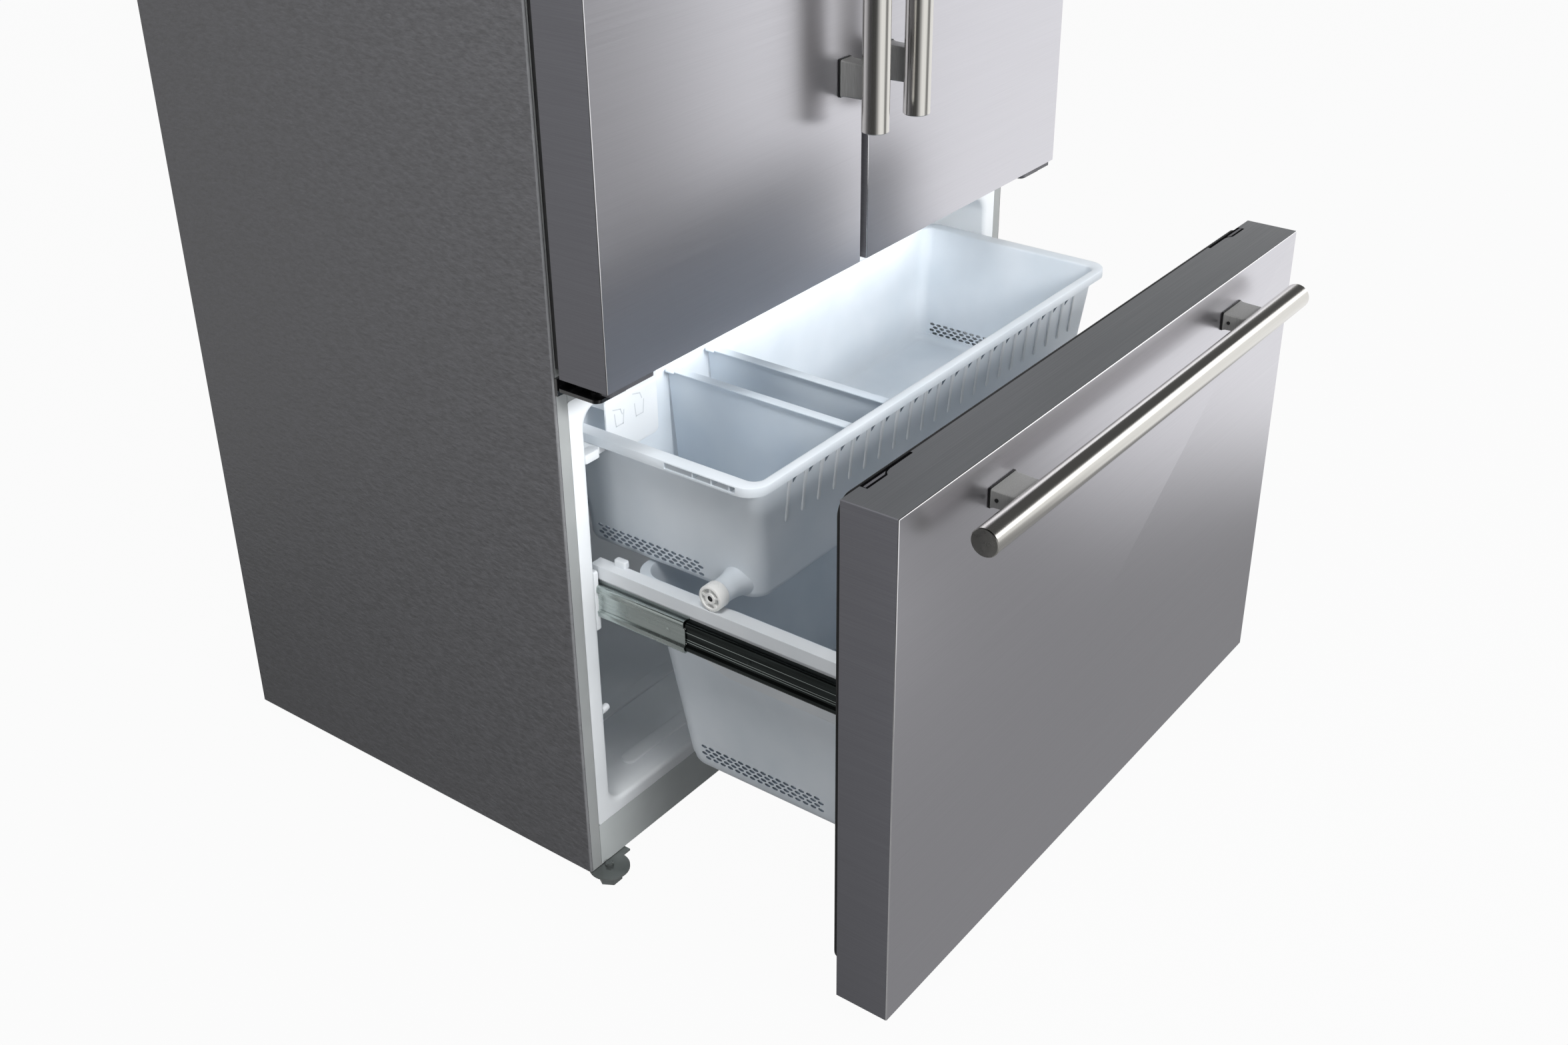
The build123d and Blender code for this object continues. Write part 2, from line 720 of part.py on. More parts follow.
for name, side in SIDES.items():
    with BuildPart() as crisper:
        near = 16
        far = cavity_half - 14
        slab((side * near, side * far), (crisper_front, crisper_back), (crisper_low, crisper_flange + 3), 10)
        slab((side * near, side * far), (crisper_front - 4, crisper_front + 8),
             (crisper_low + 4, crisper_high - 2), 4)
        slab((side * (near + basket_wall), side * (far - basket_wall)),
             (crisper_front + 8, crisper_back - basket_wall), (crisper_low + basket_wall, crisper_high), 8,
             Mode.SUBTRACT)
        for inner, outer in ((near - 8, near + 1), (far - 1, far + 8)):
            block((side * inner, side * outer), (crisper_front + 6, crisper_back),
                  (crisper_flange, crisper_flange + 3))
        slab((side * (near + 110), side * (far - 110)), (crisper_front - 20, crisper_front - 2),
             (crisper_high - 40, crisper_high - 32), 5)
    finish(crisper, f"crisper_{name}")

control_low = fridge_ceiling - 30
with BuildPart() as control_housing:
    slab((-170, 170), (84, 330), (control_low, fridge_ceiling), 20)
    block((-150, 150), (110, 310), (control_low - 7, control_low + 2), Mode.SUBTRACT)
    slab((-150, 150), (110, 310), (control_low - 2, control_low + 1), 12)
    for button in range(5):
        rod("y", (-90 + button * 45, 84, control_low + 15), 7, 4)
finish(control_housing, "control_housing")

# ================= Hinges =================

with BuildPart() as hinge_brackets:
    for side in (-1, 1):
        pin = side * pin_across
        bracket = (side * (pin_across - 40), side * (pin_across + 16))
        slab(bracket, (pin_depth - 12, 70), (case_top, case_top + hinge_plate), 8)
        rod("z", (pin, pin_depth, case_top - 9), pin_radius, 22)
        low = drawer_top + hinge_drop
        bracket = (side * (pin_across - 34), side * (pin_across + 16))
        slab(bracket, (pin_depth - 12, -1), (low, low + hinge_plate), 8)
        block(bracket, (-4, 0), (drawer_top + 3, door_bottom - 3))
        rod("z", (pin, pin_depth, low + 16), pin_radius, 30)
        rod("z", (pin, pin_depth, low + hinge_plate + 2), 9, 4)
finish(hinge_brackets, "hinge_brackets")

with BuildPart() as hinge_covers:
    for side in (-1, 1):
        slab((side * (pin_across - 46), side * (pin_across + 17)), (pin_depth - 16, 120),
             (case_top + running, case_top + 28), 12)
        block((side * (pin_across - 42), side * (pin_across + 16.2)), (pin_depth - 13, 74),
              (case_top - 1, case_top + hinge_plate + 1), Mode.SUBTRACT)
    block((-case_width, case_width), (-100, 0), (case_top - 1, case_top + 1), Mode.SUBTRACT)
    fillet(hinge_covers.edges().filter_by(Plane.XY).group_by(Axis.Z)[-1], 5)
finish(hinge_covers, "hinge_covers")

# ================= Upper doors =================

flap_axis = (-27, 10)

split = door_split / 2
dyke_far = cavity_half - dyke_clear
dyke_low = fridge_floor + 12
dyke_high = fridge_ceiling - 12
for name, side in SIDES.items():
    outer = side * doors_half
    inner = side * split
    pin = side * pin_across

    with BuildPart() as door_skin:
        block((inner, outer), (door_front, -gasket_depth), (door_bottom, door_top))
        fillet(door_skin.edges().filter_by(Axis.Z).group_by(Axis.Y)[0], 2.5)
        block((inner + side * skin, outer - side * skin), (door_front + skin, 0),
              (door_bottom - 1, door_top + 1), Mode.SUBTRACT)
    finish(door_skin, f"door_{name}_skin")

    with BuildPart() as door_inner:
        core = (inner + side * skin, outer - side * skin)
        block(core, (door_front + skin, -gasket_depth), (door_bottom + cap, door_top - cap))
        dyke = (side * latch_edge, side * dyke_far)
        ring(dyke, (-gasket_depth - 1, dyke_out), (dyke_low, dyke_high), dyke_wide, 12)
        for height in (door_bottom + cap, door_top - cap):
            rod("z", (pin, pin_depth, height), pin_radius + 5, 40, Mode.SUBTRACT)
        if name == "left":
            for height, tip in ((dyke_low, 9), (dyke_high - 6, -3)):
                lug = (height, height + 6)
                block((-latch_edge - 2, flap_axis[0] - 4), (-gasket_depth - 1, flap_axis[1] + 5), lug)
                block((flap_axis[0] - 5, flap_axis[0] + 9), (flap_axis[1] - 9, flap_axis[1] + 9), lug)
                rod("z", (*flap_axis, height + tip), 3, 6)
    finish(door_inner, f"door_{name}_inner")

    with BuildPart() as door_gasket:
        seal = (side * (split + 9.5), side * (pin_across - 3))
        ring(seal, (-gasket_depth, -gasket_clear), (door_bottom + 5, door_top - 5), gasket_wide, 6)
        ring((seal[0] + side * 5, seal[1] - side * 5), (3 - gasket_depth, -3),
             (door_bottom + 10, door_top - 10), 4, 4, Mode.SUBTRACT)
    finish(door_gasket, f"door_{name}_gasket")

    with BuildPart() as door_caps:
        for low in (door_bottom, door_top - cap):
            block(core, (door_front + skin, -gasket_depth), (low, low + cap))
            rod("z", (pin, pin_depth, low + cap / 2), pin_radius + pin_fit, 3 * cap, Mode.SUBTRACT)
        slab((side * (doors_half - 76), side * (doors_half - 6)), (door_front + 2, door_front + 16),
             (door_bottom - 6, door_bottom + 1), 4)
    finish(door_caps, f"door_{name}_caps")

    with BuildPart() as door_handle:
        bar_across = side * door_bar_across
        bar_depth = door_front - bar_offset
        bar_middle = door_bar_low + door_bar_length / 2
        for end in (-1, 1):
            height = bar_middle + end * (door_bar_length / 2 - door_post_inset)
            block((bar_across - post_wide / 2, bar_across + post_wide / 2), (bar_depth, door_front),
                  (height - post_long / 2, height + post_long / 2))
        rod("z", (bar_across, bar_depth, bar_middle), bar_radius + bar_fit, door_bar_length, Mode.SUBTRACT)
        rod("z", (bar_across, bar_depth, bar_middle), bar_radius, door_bar_length)
        chamfer(door_handle.edges().filter_by(GeomType.CIRCLE).group_by(Axis.Z)[0], 1)
        chamfer(door_handle.edges().filter_by(GeomType.CIRCLE).group_by(Axis.Z)[-1], 1)
    finish(door_handle, f"door_{name}_handle")

    with BuildPart() as door_bins:
        near = side * (latch_edge + dyke_wide + 1)
        far = side * (dyke_far - dyke_wide - 1)
        for height in bin_heights:
            ends = (-gasket_depth + running, bin_out)
            slab((near, far), ends, (height, height + bin_tall), 14)
            slab((near + side * basket_wall, far - side * basket_wall),
                 (ends[0] + basket_wall, ends[1] - basket_wall),
                 (height + basket_wall, height + bin_tall + 1), 12, Mode.SUBTRACT)
    finish(door_bins, f"door_{name}_bins")

with BuildPart() as mullion_flap:
    low, high = dyke_low + 6.5, dyke_high - 6.5
    rod("z", (*flap_axis, (low + high) / 2), 9, high - low)
    block((flap_axis[0] - 9, flap_axis[0] + 9), (flap_axis[1], flap_axis[1] + 58), (low, high))
    for height in (low, high):
        rod("z", (*flap_axis, height), 3.05, 14, Mode.SUBTRACT)
finish(mullion_flap, "mullion_flap")

# ================= Freezer drawer =================

with BuildPart() as drawer_skin:
    block((-doors_half, doors_half), (drawer_front, drawer_back), (drawer_bottom, drawer_top))
    fillet(drawer_skin.edges().filter_by(Axis.Z).group_by(Axis.Y)[0], 2.5)
    block((-doors_half + skin, doors_half - skin), (drawer_front + skin, drawer_back + 1),
          (drawer_bottom - 1, drawer_top - skin), Mode.SUBTRACT)
    for side in (-1, 1):
        block((side * (doors_half - 115), side * (doors_half - 21)), (drawer_back - 7, drawer_back + 1),
              (drawer_top - 2, drawer_top + 1), Mode.SUBTRACT)
finish(drawer_skin, "drawer_skin")

dyke_half = cavity_half - 6
drawer_dyke = 10
with BuildPart() as drawer_inner:
    core = doors_half - skin
    block((-core, core), (drawer_front + skin, drawer_back), (drawer_bottom + cap, drawer_top - skin))
    plate((-dyke_half, dyke_half), (drawer_back - 1, drawer_back + drawer_dyke),
          (freezer_floor + 8, freezer_ceiling - 8), 18)
finish(drawer_inner, "drawer_inner")

with BuildPart() as drawer_gasket:
    seal_half = doors_half - 10
    seal_height = (drawer_bottom + 32, drawer_top - 7)
    ring((-seal_half, seal_half), (drawer_back, -drawer_open - gasket_clear), seal_height, gasket_wide, 6)
    ring((5 - seal_half, seal_half - 5), (drawer_back + 3, -drawer_open - 3),
         (seal_height[0] + 5, seal_height[1] - 5), 4, 4, Mode.SUBTRACT)
finish(drawer_gasket, "drawer_gasket")

with BuildPart() as drawer_cap:
    block((-core, core), (drawer_front + skin, drawer_back), (drawer_bottom, drawer_bottom + cap))
    block((40 - core, core - 40), (drawer_front + 20, drawer_back - 20),
          (drawer_bottom - 1, drawer_bottom + 3), Mode.SUBTRACT)
finish(drawer_cap, "drawer_cap")

with BuildPart() as drawer_handle:
    bar_depth = drawer_front - bar_offset
    for side in (-1, 1):
        middle = side * drawer_post_across
        block((middle - post_long / 2, middle + post_long / 2), (bar_depth, drawer_front),
              (drawer_bar_height - post_wide / 2, drawer_bar_height + post_wide / 2))
    rod("x", (0, bar_depth, drawer_bar_height), bar_radius + bar_fit, bar_length, Mode.SUBTRACT)
    rod("x", (0, bar_depth, drawer_bar_height), bar_radius, bar_length)
    chamfer(drawer_handle.edges().filter_by(GeomType.CIRCLE).group_by(Axis.X)[0], 1)
    chamfer(drawer_handle.edges().filter_by(GeomType.CIRCLE).group_by(Axis.X)[-1], 1)
finish(drawer_handle, "drawer_handle")


def slide_member(name, step, front, length):
    """Pair of channels that nest inside the next larger pair, one step in from the wall each."""
    shift = step * (member_sheet + member_gap)
    half = slide_half - shift
    web = cavity_half - shift
    with BuildPart() as members:
        for side in (-1, 1):
            ends = (side * web, side * (cavity_half - slide_depth))
            block(ends, (front, front + length), (slide_height - half, slide_height + half))
            block((side * (web - member_sheet), side * (cavity_half - slide_depth - 1)),
                  (front - 1, front + length + 1),
                  (slide_height - half + member_sheet, slide_height + half - member_sheet), Mode.SUBTRACT)
    finish(members, name)


slide_member("slide_outer", 0, slide_front, slide_length)
slide_member("slide_middle", 1, member_front - drawer_open / 2, member_length)
slide_member("slide_inner", 2, -drawer_open, member_length)

rail_front = drawer_back + drawer_dyke
rail_web = cavity_half - slide_depth
with BuildPart() as drawer_frame:
    for side in (-1, 1):
        run = (rail_front, rail_front + rail_length)
        block((side * rail_outer, side * rail_inner), run, (rail_top - rail_sheet, rail_top))
        block((side * rail_outer, side * (rail_outer - rail_sheet)), run,
              (slide_height + slide_half + 3, rail_top))
        block((side * rail_web, side * (rail_web - rail_sheet)), run, (slide_height - 17, rail_top))
        block((side * (rail_web - 1), side * (low_basket_half + 2)), run,
              (low_basket_top - 4.3, low_basket_top - 2.3))
        block((side * rail_outer, side * rail_inner), (rail_front, rail_front + 14),
              (slide_height + slide_half + 3, rail_top + 8))
finish(drawer_frame, "drawer_frame")

with BuildPart() as lower_basket:
    ends = low_basket_ends
    low_ends = (ends[0] + 5, ends[1] - low_basket_lean)
    span = (low_basket_bottom, low_basket_top)
    low_half = low_basket_half - low_basket_taper
    tub(low_basket_half, ends, span, low_half, low_ends, 28)
    slab((-low_basket_half - 9, low_basket_half + 9), (ends[0] - 2, ends[1] + 9), (span[1] - 2, span[1]), 32)
    wall = basket_wall
    tub(low_basket_half - wall, (ends[0] + wall, ends[1] - wall), (span[0] + wall, span[1]),
        low_half - wall, (low_ends[0] + wall, low_ends[1] - wall), 26, Mode.SUBTRACT)
finish(lower_basket, "lower_basket")

# ================= Upper basket =================

body_half = up_basket_half - up_rim
body_ends = (up_basket_ends[0] + up_front_rim, up_basket_ends[1] - up_front_rim)
body_low_half = body_half - up_taper
body_low_ends = (body_ends[0] + up_front_taper, body_ends[1] - up_front_taper)
with BuildPart() as upper_basket:
    rim_half = up_basket_half
    rim_ends = up_basket_ends
    slab((-rim_half, rim_half), rim_ends, (up_basket_top - up_skirt, up_basket_top), 26)
    slab((-rim_half + wall, rim_half - wall), (rim_ends[0] + wall, rim_ends[1] - wall),
         (up_basket_top - up_skirt - 1, up_basket_top - 3), 24, Mode.SUBTRACT)
    tub(body_half, body_ends, (up_basket_bottom, up_basket_top), body_low_half, body_low_ends, 28)
    tub(body_half - wall, (body_ends[0] + wall, body_ends[1] - wall),
        (up_basket_bottom + wall, up_basket_top), body_low_half - wall,
        (body_low_ends[0] + wall, body_low_ends[1] - wall), 26, Mode.SUBTRACT)
    for side in (-1, 1):
        rod("x", (side * (body_low_half + 12), wheel_depth, wheel_height), 7, 24)
        tip = wheel_across + wheel_wide / 2 + 2.5
        block_end = body_low_half + 10
        rod("x", (side * (block_end + tip) / 2, wheel_depth, wheel_height), stub_radius, tip - block_end)
        rod("x", (side * (tip - 1), wheel_depth, wheel_height), 5, 2)
finish(upper_basket, "upper_basket")

with BuildPart() as basket_dividers:
    for across in divider_across:
        drop = up_basket_top - 4
        rise = up_basket_bottom + wall + running
        share = (drop - rise) / (up_basket_top - up_basket_bottom)
        top_ends = (body_ends[0] + wall + 1, body_ends[1] - wall - 1)
        low_ends = (top_ends[0] + up_front_taper * share, top_ends[1] - up_front_taper * share)
        side_plane = Plane(origin=(across, front_y, 0), x_dir=(0, 1, 0), z_dir=(1, 0, 0))
        with BuildSketch(side_plane) as sheet_outline:
            with BuildLine():
                Polyline((low_ends[0], rise), (low_ends[1], rise), (top_ends[1], drop), (top_ends[0], drop),
                         close=True)
            make_face()
        extrude(sheet_outline.sketch, amount=divider_sheet / 2, both=True)
        block((across - divider_fold / 2, across + divider_fold / 2), (top_ends[0], top_ends[1]),
              (drop - 2, drop))
finish(basket_dividers, "basket_dividers")

with BuildPart() as basket_rollers:
    for side in (-1, 1):
        middle = (side * wheel_across, wheel_depth, wheel_height)
        rod("x", middle, wheel_radius, wheel_wide)
        rod("x", middle, wheel_radius - 2.5, wheel_wide + 1, Mode.SUBTRACT)
        rod("x", middle, 6, wheel_wide)
        for web in range(5):
            spoke("x", middle, radians(90 + web * 72), (5, wheel_radius - 2), 2, wheel_wide - 4)
        rod("x", middle, stub_radius + 0.06, wheel_wide + 2, Mode.SUBTRACT)
finish(basket_rollers, "basket_rollers")

# ================= Electric inlet =================

with BuildPart() as power_inlet:
    block((inlet_across - 20, inlet_across + 20), (case_depth - 40, case_depth - 4),
          (inlet_height - 15, inlet_height + 15))
    block((inlet_across - 16, inlet_across + 16), (case_depth - 22, case_depth - 3),
          (inlet_height - 11, inlet_height + 11), Mode.SUBTRACT)
    for blade in (-7, 0, 7):
        block((inlet_across + blade - 1, inlet_across + blade + 1), (case_depth - 24, case_depth - 8),
              (inlet_height - 3, inlet_height + 3))
finish(power_inlet, "power_inlet")
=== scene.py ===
"""Looks of the refrigerator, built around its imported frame.

Lengths are in millimetres until a mesh is made. A point is (across, depth, height): across to the
right as one faces the doors, depth backwards from the front plane of the case, height from the floor.
"""

from math import cos, pi, radians, sin

import bmesh
import bpy
import numpy as np
from mathutils import Matrix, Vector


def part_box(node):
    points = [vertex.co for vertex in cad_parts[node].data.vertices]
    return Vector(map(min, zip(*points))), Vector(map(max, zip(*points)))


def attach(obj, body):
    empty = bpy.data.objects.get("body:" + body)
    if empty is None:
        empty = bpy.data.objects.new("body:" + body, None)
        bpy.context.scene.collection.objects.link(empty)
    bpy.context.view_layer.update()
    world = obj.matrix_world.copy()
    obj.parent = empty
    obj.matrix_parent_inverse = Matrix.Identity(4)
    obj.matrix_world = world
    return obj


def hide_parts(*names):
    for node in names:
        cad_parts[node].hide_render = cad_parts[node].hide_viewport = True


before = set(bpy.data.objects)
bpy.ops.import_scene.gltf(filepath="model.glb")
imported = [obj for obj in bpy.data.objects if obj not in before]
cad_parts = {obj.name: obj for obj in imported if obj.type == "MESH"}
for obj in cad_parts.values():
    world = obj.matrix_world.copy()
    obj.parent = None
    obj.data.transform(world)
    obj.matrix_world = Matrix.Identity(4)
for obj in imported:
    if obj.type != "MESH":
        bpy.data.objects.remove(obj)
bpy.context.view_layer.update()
scene = bpy.context.scene

# ================= Sizes read from the frame =================


# The case's front plane is where depth is 0.
SHIFT = np.array([0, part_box("outer_case")[0][1] * 1000, 0])


def span(node):
    """Lowest and highest corner of a CAD node, as two arrays of across, depth and height."""
    low, high = (np.array(corner) * 1000 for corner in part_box(node))
    return low - SHIFT, high - SHIFT


CASE_LOW, CASE_HIGH = span("outer_case")
DRAWER_LOW, DRAWER_HIGH = span("drawer_skin")
UPPER_LOW, UPPER_HIGH = span("upper_basket")
LOWER_LOW, LOWER_HIGH = span("lower_basket")
LINER_LOW, LINER_HIGH = span("freezer_liner")
SHEET = 1.2
# Steps in the quarter turn of an outline's corner.
ARC = 8
SIDES = (-1, 1)

# ================= Surfaces as numpy arrays =================


def outline(low, high, radius, stops=()):
    """Rounded rectangle in two coordinates, run anticlockwise from its low second coordinate.

    Each corner is its centre plus radius times (cos t, sin t) over a quarter turn; a pair of radii
    gives the two corners at the low second coordinate, then the two at the high one. stops are extra
    points on the two sides of constant first coordinate, at those second coordinates, kept off the
    corners.
    """
    most = min(high[0] - low[0], high[1] - low[1]) / 2 - 0.01
    near, far = np.clip(np.broadcast_to(radius, 2), 0.02, most)
    turn = np.linspace(0, pi / 2, ARC + 1)
    centres = (
        (high[0] - near, low[1] + near, -pi / 2, near),
        (high[0] - far, high[1] - far, 0, far),
        (low[0] + far, high[1] - far, pi / 2, far),
        (low[0] + near, low[1] + near, pi, near),
    )
    runs = []
    for corner, (first, second, start, size) in enumerate(centres):
        arc = np.stack([first + size * np.cos(start + turn), second + size * np.sin(start + turn)], 1)
        runs.append(arc)
        if corner in (0, 2) and len(stops):
            side = high[0] if corner == 0 else low[0]
            along = np.clip(np.sort(stops), low[1] + near, high[1] - far)
            along = along if corner == 0 else along[::-1]
            runs.append(np.stack([np.full(len(along), side), along], 1))
    return np.concatenate(runs)


def lift(flat, level, axis):
    """Puts two-coordinate points on the plane where one coordinate is level; axis names that one."""
    return np.insert(np.asarray(flat, float), "xyz".index(axis), level, axis=1)


def quads(rows, columns, round_rows=False, round_columns=True):
    """Index grid of quads: each joins a point to the next in its row and the two above them."""
    row = np.arange(rows if round_rows else rows - 1)[:, None]
    column = np.arange(columns if round_columns else columns - 1)[None, :]
    up, on = (row + 1) % rows, (column + 1) % columns
    corners = (row * columns + column, row * columns + on, up * columns + on, up * columns + column)
    return np.stack([np.broadcast_to(c, (row.size, column.size)) for c in corners], -1)


def skin_of(rows, ends=True, ring=False, slot=0, windows=(), slots=None):
    """Surface through a stack of closed loops with equal point counts.

    ends, one truth or two, fills the first and last loop, ring joins the last back to the first,
    windows leaves out quads given as (row, column), and slots gives each band between two loops its
    own material.
    """
    rows = np.asarray(rows)
    count, around = rows.shape[:2]
    grid = quads(count, around, round_rows=ring)
    keep = np.ones(grid.shape[:2], bool)
    for row, column in windows:
        keep[row, column] = False
    band = np.full(grid.shape[:2], slot)
    if slots is not None:
        band[:] = np.asarray(slots)[: len(grid), None]
    faces = [(grid[keep], band[keep])]
    first, last = np.broadcast_to(ends, 2) & (not ring)
    if first:
        faces.append((np.arange(around)[None, ::-1], band[0, :1]))
    if last:
        faces.append(((count - 1) * around + np.arange(around)[None, :], band[-1, :1]))
    return rows.reshape(-1, 3), faces


def stack(axis, rows, **more):
    """Surface through rounded rectangles; a row is low corner, high corner, radius and level."""
    return skin_of([lift(outline(a, b, radius), level, axis) for a, b, radius, level in rows], **more)


def turned(axis, centre, profile, around=48, **more):
    """Surface of revolution: profile gives (place along the axis, radius) pairs about centre."""
    turn = np.linspace(0, 2 * pi, around, endpoint=False)
    loops = []
    for along, radius in profile:
        ring = radius * np.stack([np.cos(turn), np.sin(turn)], 1)
        loops.append(lift(ring, along, axis) + np.array(centre))
    return skin_of(loops, **more)


def soft_box(low, high, radius, soft, axis="z", slot=0):
    """Box with corners of one radius seen along an axis, and quarter-round edges at both ends.

    Near each end the outline draws in by soft (1 - sin t) while the level moves by soft (1 - cos t).
    """
    a, b, c = {"z": (0, 1, 2), "y": (0, 2, 1), "x": (1, 2, 0)}[axis]
    low, high = np.minimum(low, high), np.maximum(low, high)
    rows = []
    steps = np.linspace(0, pi / 2, 4)
    for turn, start, sign in ((steps, low[c], 1), (steps[::-1], high[c], -1)):
        for t in turn:
            draw = soft * (1 - sin(t))
            corners = (low[a] + draw, low[b] + draw), (high[a] - draw, high[b] - draw)
            rows.append((*corners, radius - draw / 2, start + sign * soft * (1 - cos(t))))
    return stack(axis, rows, slot=slot)


def prism(axis, polygon, low, high, slot=0):
    """Straight solid whose section is a polygon of two-coordinate points, between two levels."""
    flat = np.array(polygon, float)
    return skin_of([lift(flat, low, axis), lift(flat, high, axis)], slot=slot)


def blend_between(corners, u, v):
    """Point inside four corners: corner weights are (1-u)(1-v), u(1-v), uv and (1-u)v."""
    weights = np.stack([(1 - u) * (1 - v), u * (1 - v), u * v, (1 - u) * v], -1)
    return weights @ np.asarray(corners)


def pierced(outer, inner, columns, half_hole):
    """Wall panel between four outer and four inner corners, with four rows of staggered oval holes.

    Every cell is a square of eight border points round a ring of eight hole points. Odd rows are
    moved by half a cell, and plain half cells close their ends. Both faces are made in slot 0 and
    the holes' own walls in slot 1.
    """
    rows = 4
    turn = np.arange(8) * pi / 4
    ring = np.stack([np.cos(turn), np.sin(turn)], 1)
    edge = ring / np.abs(ring).max(1, keepdims=True)
    size = np.array([1 / (columns + 0.5), 1 / rows])
    row, column = np.divmod(np.arange(rows * columns), columns)
    centre = np.stack([(column + 0.5 + 0.5 * (row % 2)) * size[0], (row + 0.5) * size[1]], 1)
    lengths = [np.linalg.norm(np.subtract(outer[k], outer[0])) for k in (1, 3)]
    border = centre[:, None] + edge * size / 2
    hole = centre[:, None] + ring * np.array(half_hole) / np.array(lengths)
    flat = np.concatenate([border, hole], 1)
    sides = [blend_between(side, flat[..., 0], flat[..., 1]) for side in (outer, inner)]
    cell = np.concatenate(sides, 1)
    k = np.arange(8)
    on = (k + 1) % 8
    one = np.concatenate([
        np.stack([k, on, 8 + on, 8 + k], 1),
        np.stack([16 + on, 16 + k, 24 + k, 24 + on], 1),
        np.stack([8 + k, 8 + on, 24 + on, 24 + k], 1),
    ])
    faces = (one[None] + 32 * np.arange(len(centre))[:, None, None]).reshape(-1, 4)
    start = 32 * len(centre)
    spare = np.arange(rows)
    left = np.where(spare % 2 == 1, 0, columns * size[0])
    corners = np.stack([
        np.stack([left, spare * size[1]], 1),
        np.stack([left + size[0] / 2, spare * size[1]], 1),
        np.stack([left + size[0] / 2, (spare + 1) * size[1]], 1),
        np.stack([left, (spare + 1) * size[1]], 1),
    ], 1)
    both = [blend_between(side, corners[..., 0], corners[..., 1]) for side in (outer, inner)]
    both = np.concatenate(both, 1)
    fill = np.array([[0, 1, 2, 3], [7, 6, 5, 4]])
    more = (start + fill[None] + 8 * spare[:, None, None]).reshape(-1, 4)
    points = np.concatenate([cell.reshape(-1, 3), both.reshape(-1, 3)])
    # Slot 1, on the hole walls, paints them dark as shade.
    band = np.tile(np.repeat([0, 1], (16, 8)), len(centre))
    return points, [(faces, band), (more, np.zeros(len(more), int))]


def reveal(outer, inner):
    """Four quads that join the edges of an opening in an outer face to those in the inner one."""
    return skin_of([outer, inner], ends=False)


def opening(loops, out_band, in_band, first, last):
    """Corners of an opening through a wall, outside and inside, and the quads that it takes up.

    The bands run up the outside and down the inside; first and last are columns.
    """
    outer, inner = ([loops[a, first], loops[a, last], loops[b, last], loops[b, first]]
                    for a, b in ((out_band, out_band + 1), (in_band + 1, in_band)))
    columns = range(min(first, last), max(first, last))
    return outer, inner, [(band, column) for column in columns for band in (out_band, in_band)]


def arch(low, high, inset, radius):
    """Open path up one side of a box, over its top and down the other, drawn in by inset."""
    bottom, left, right = low[2], low[0] + inset, high[0] - inset
    flat = outline((left, bottom), (right, high[2] - inset), max(radius - inset, 0.05))
    return np.concatenate([[(right, bottom)], flat[ARC + 1:3 * ARC + 3], [(left, bottom)]])


def bent_sheet(low, high, radius, profile, slots, closed=False, roof=0):
    """Sheet carried over an arch: profile is (inset, depth) pairs, slots the material between two.

    A closed profile gets its two cut ends, an open one the flat face inside its last arch. The first
    roof bands are of slot 3 on the flat top.
    """
    rows = np.array([lift(arch(low, high, inset, radius), depth, "y") for inset, depth in profile])
    count, along = rows.shape[:2]
    grid = quads(count, along, round_rows=closed, round_columns=False)
    band = np.repeat(np.array(slots)[:, None], along - 1, 1)
    band[:roof, ARC + 1] = 3
    row, column = np.arange(count), np.arange(along)
    ends = [along * row, along * row + along - 1] if closed else [(count - 1) * along + column]
    slot = np.array([0 if closed else slots[-1]])
    caps = [(end[None], slot) for end in ends]
    return rows.reshape(-1, 3), [(grid.reshape(-1, 4), band.ravel()), *caps]


def straight_sheet(axis, outer, inner, start, stop, slots=0):
    """Thin sheet carried straight between two levels; its section runs along outer, back along inner."""
    section = np.concatenate([outer, inner[::-1]])
    count, column = len(section), np.arange(len(outer) - 1)
    ends = np.stack([column, column + 1, count - 2 - column, count - 1 - column], 1)
    ends = np.concatenate([ends, ends + count])
    band = np.resize(slots, count)
    rows = [lift(section, level, axis) for level in (start, stop)]
    return np.concatenate(rows), [(quads(2, count)[0], band), (ends, np.full(len(ends), band[-1]))]


def make(name, body, patches, materials, replaces, sharp=32):
    """Joins patches into one mesh in metres, closes their seams, turns faces outwards, and rides it."""
    points, faces, bands, start = [], [], [], 0
    for some, groups in patches:
        points.append(some)
        for corners, band in groups:
            faces += (np.asarray(corners) + start).tolist()
            bands.append(band)
        start += len(some)
    mesh = bpy.data.meshes.new(name)
    mesh.from_pydata(((np.concatenate(points) + SHIFT) * 0.001).tolist(), [], faces)
    for material in materials:
        mesh.materials.append(material)
    mesh.polygons.foreach_set("material_index", np.concatenate(bands).astype("int32"))
    work = bmesh.new()
    work.from_mesh(mesh)
    bmesh.ops.remove_doubles(work, verts=work.verts, dist=2e-6)
    bmesh.ops.dissolve_degenerate(work, edges=work.edges, dist=1e-7)
    bmesh.ops.recalc_face_normals(work, faces=work.faces)
    work.to_mesh(mesh)
    work.free()
    mesh.shade_smooth()
    mesh.set_sharp_from_angle(angle=radians(sharp))
    piece = bpy.data.objects.new(name, mesh)
    scene.collection.objects.link(piece)
    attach(piece, body)
    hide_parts(*replaces)


# ================= Materials =================


def linear(code):
    """sRGB hex to linear red, green, blue and alpha."""
    parts = [int(code[i:i + 2], 16) / 255 for i in (1, 3, 5)]
    return tuple(p / 12.92 if p <= 0.04045 else ((p + 0.055) / 1.055) ** 2.4 for p in parts) + (1.0,)


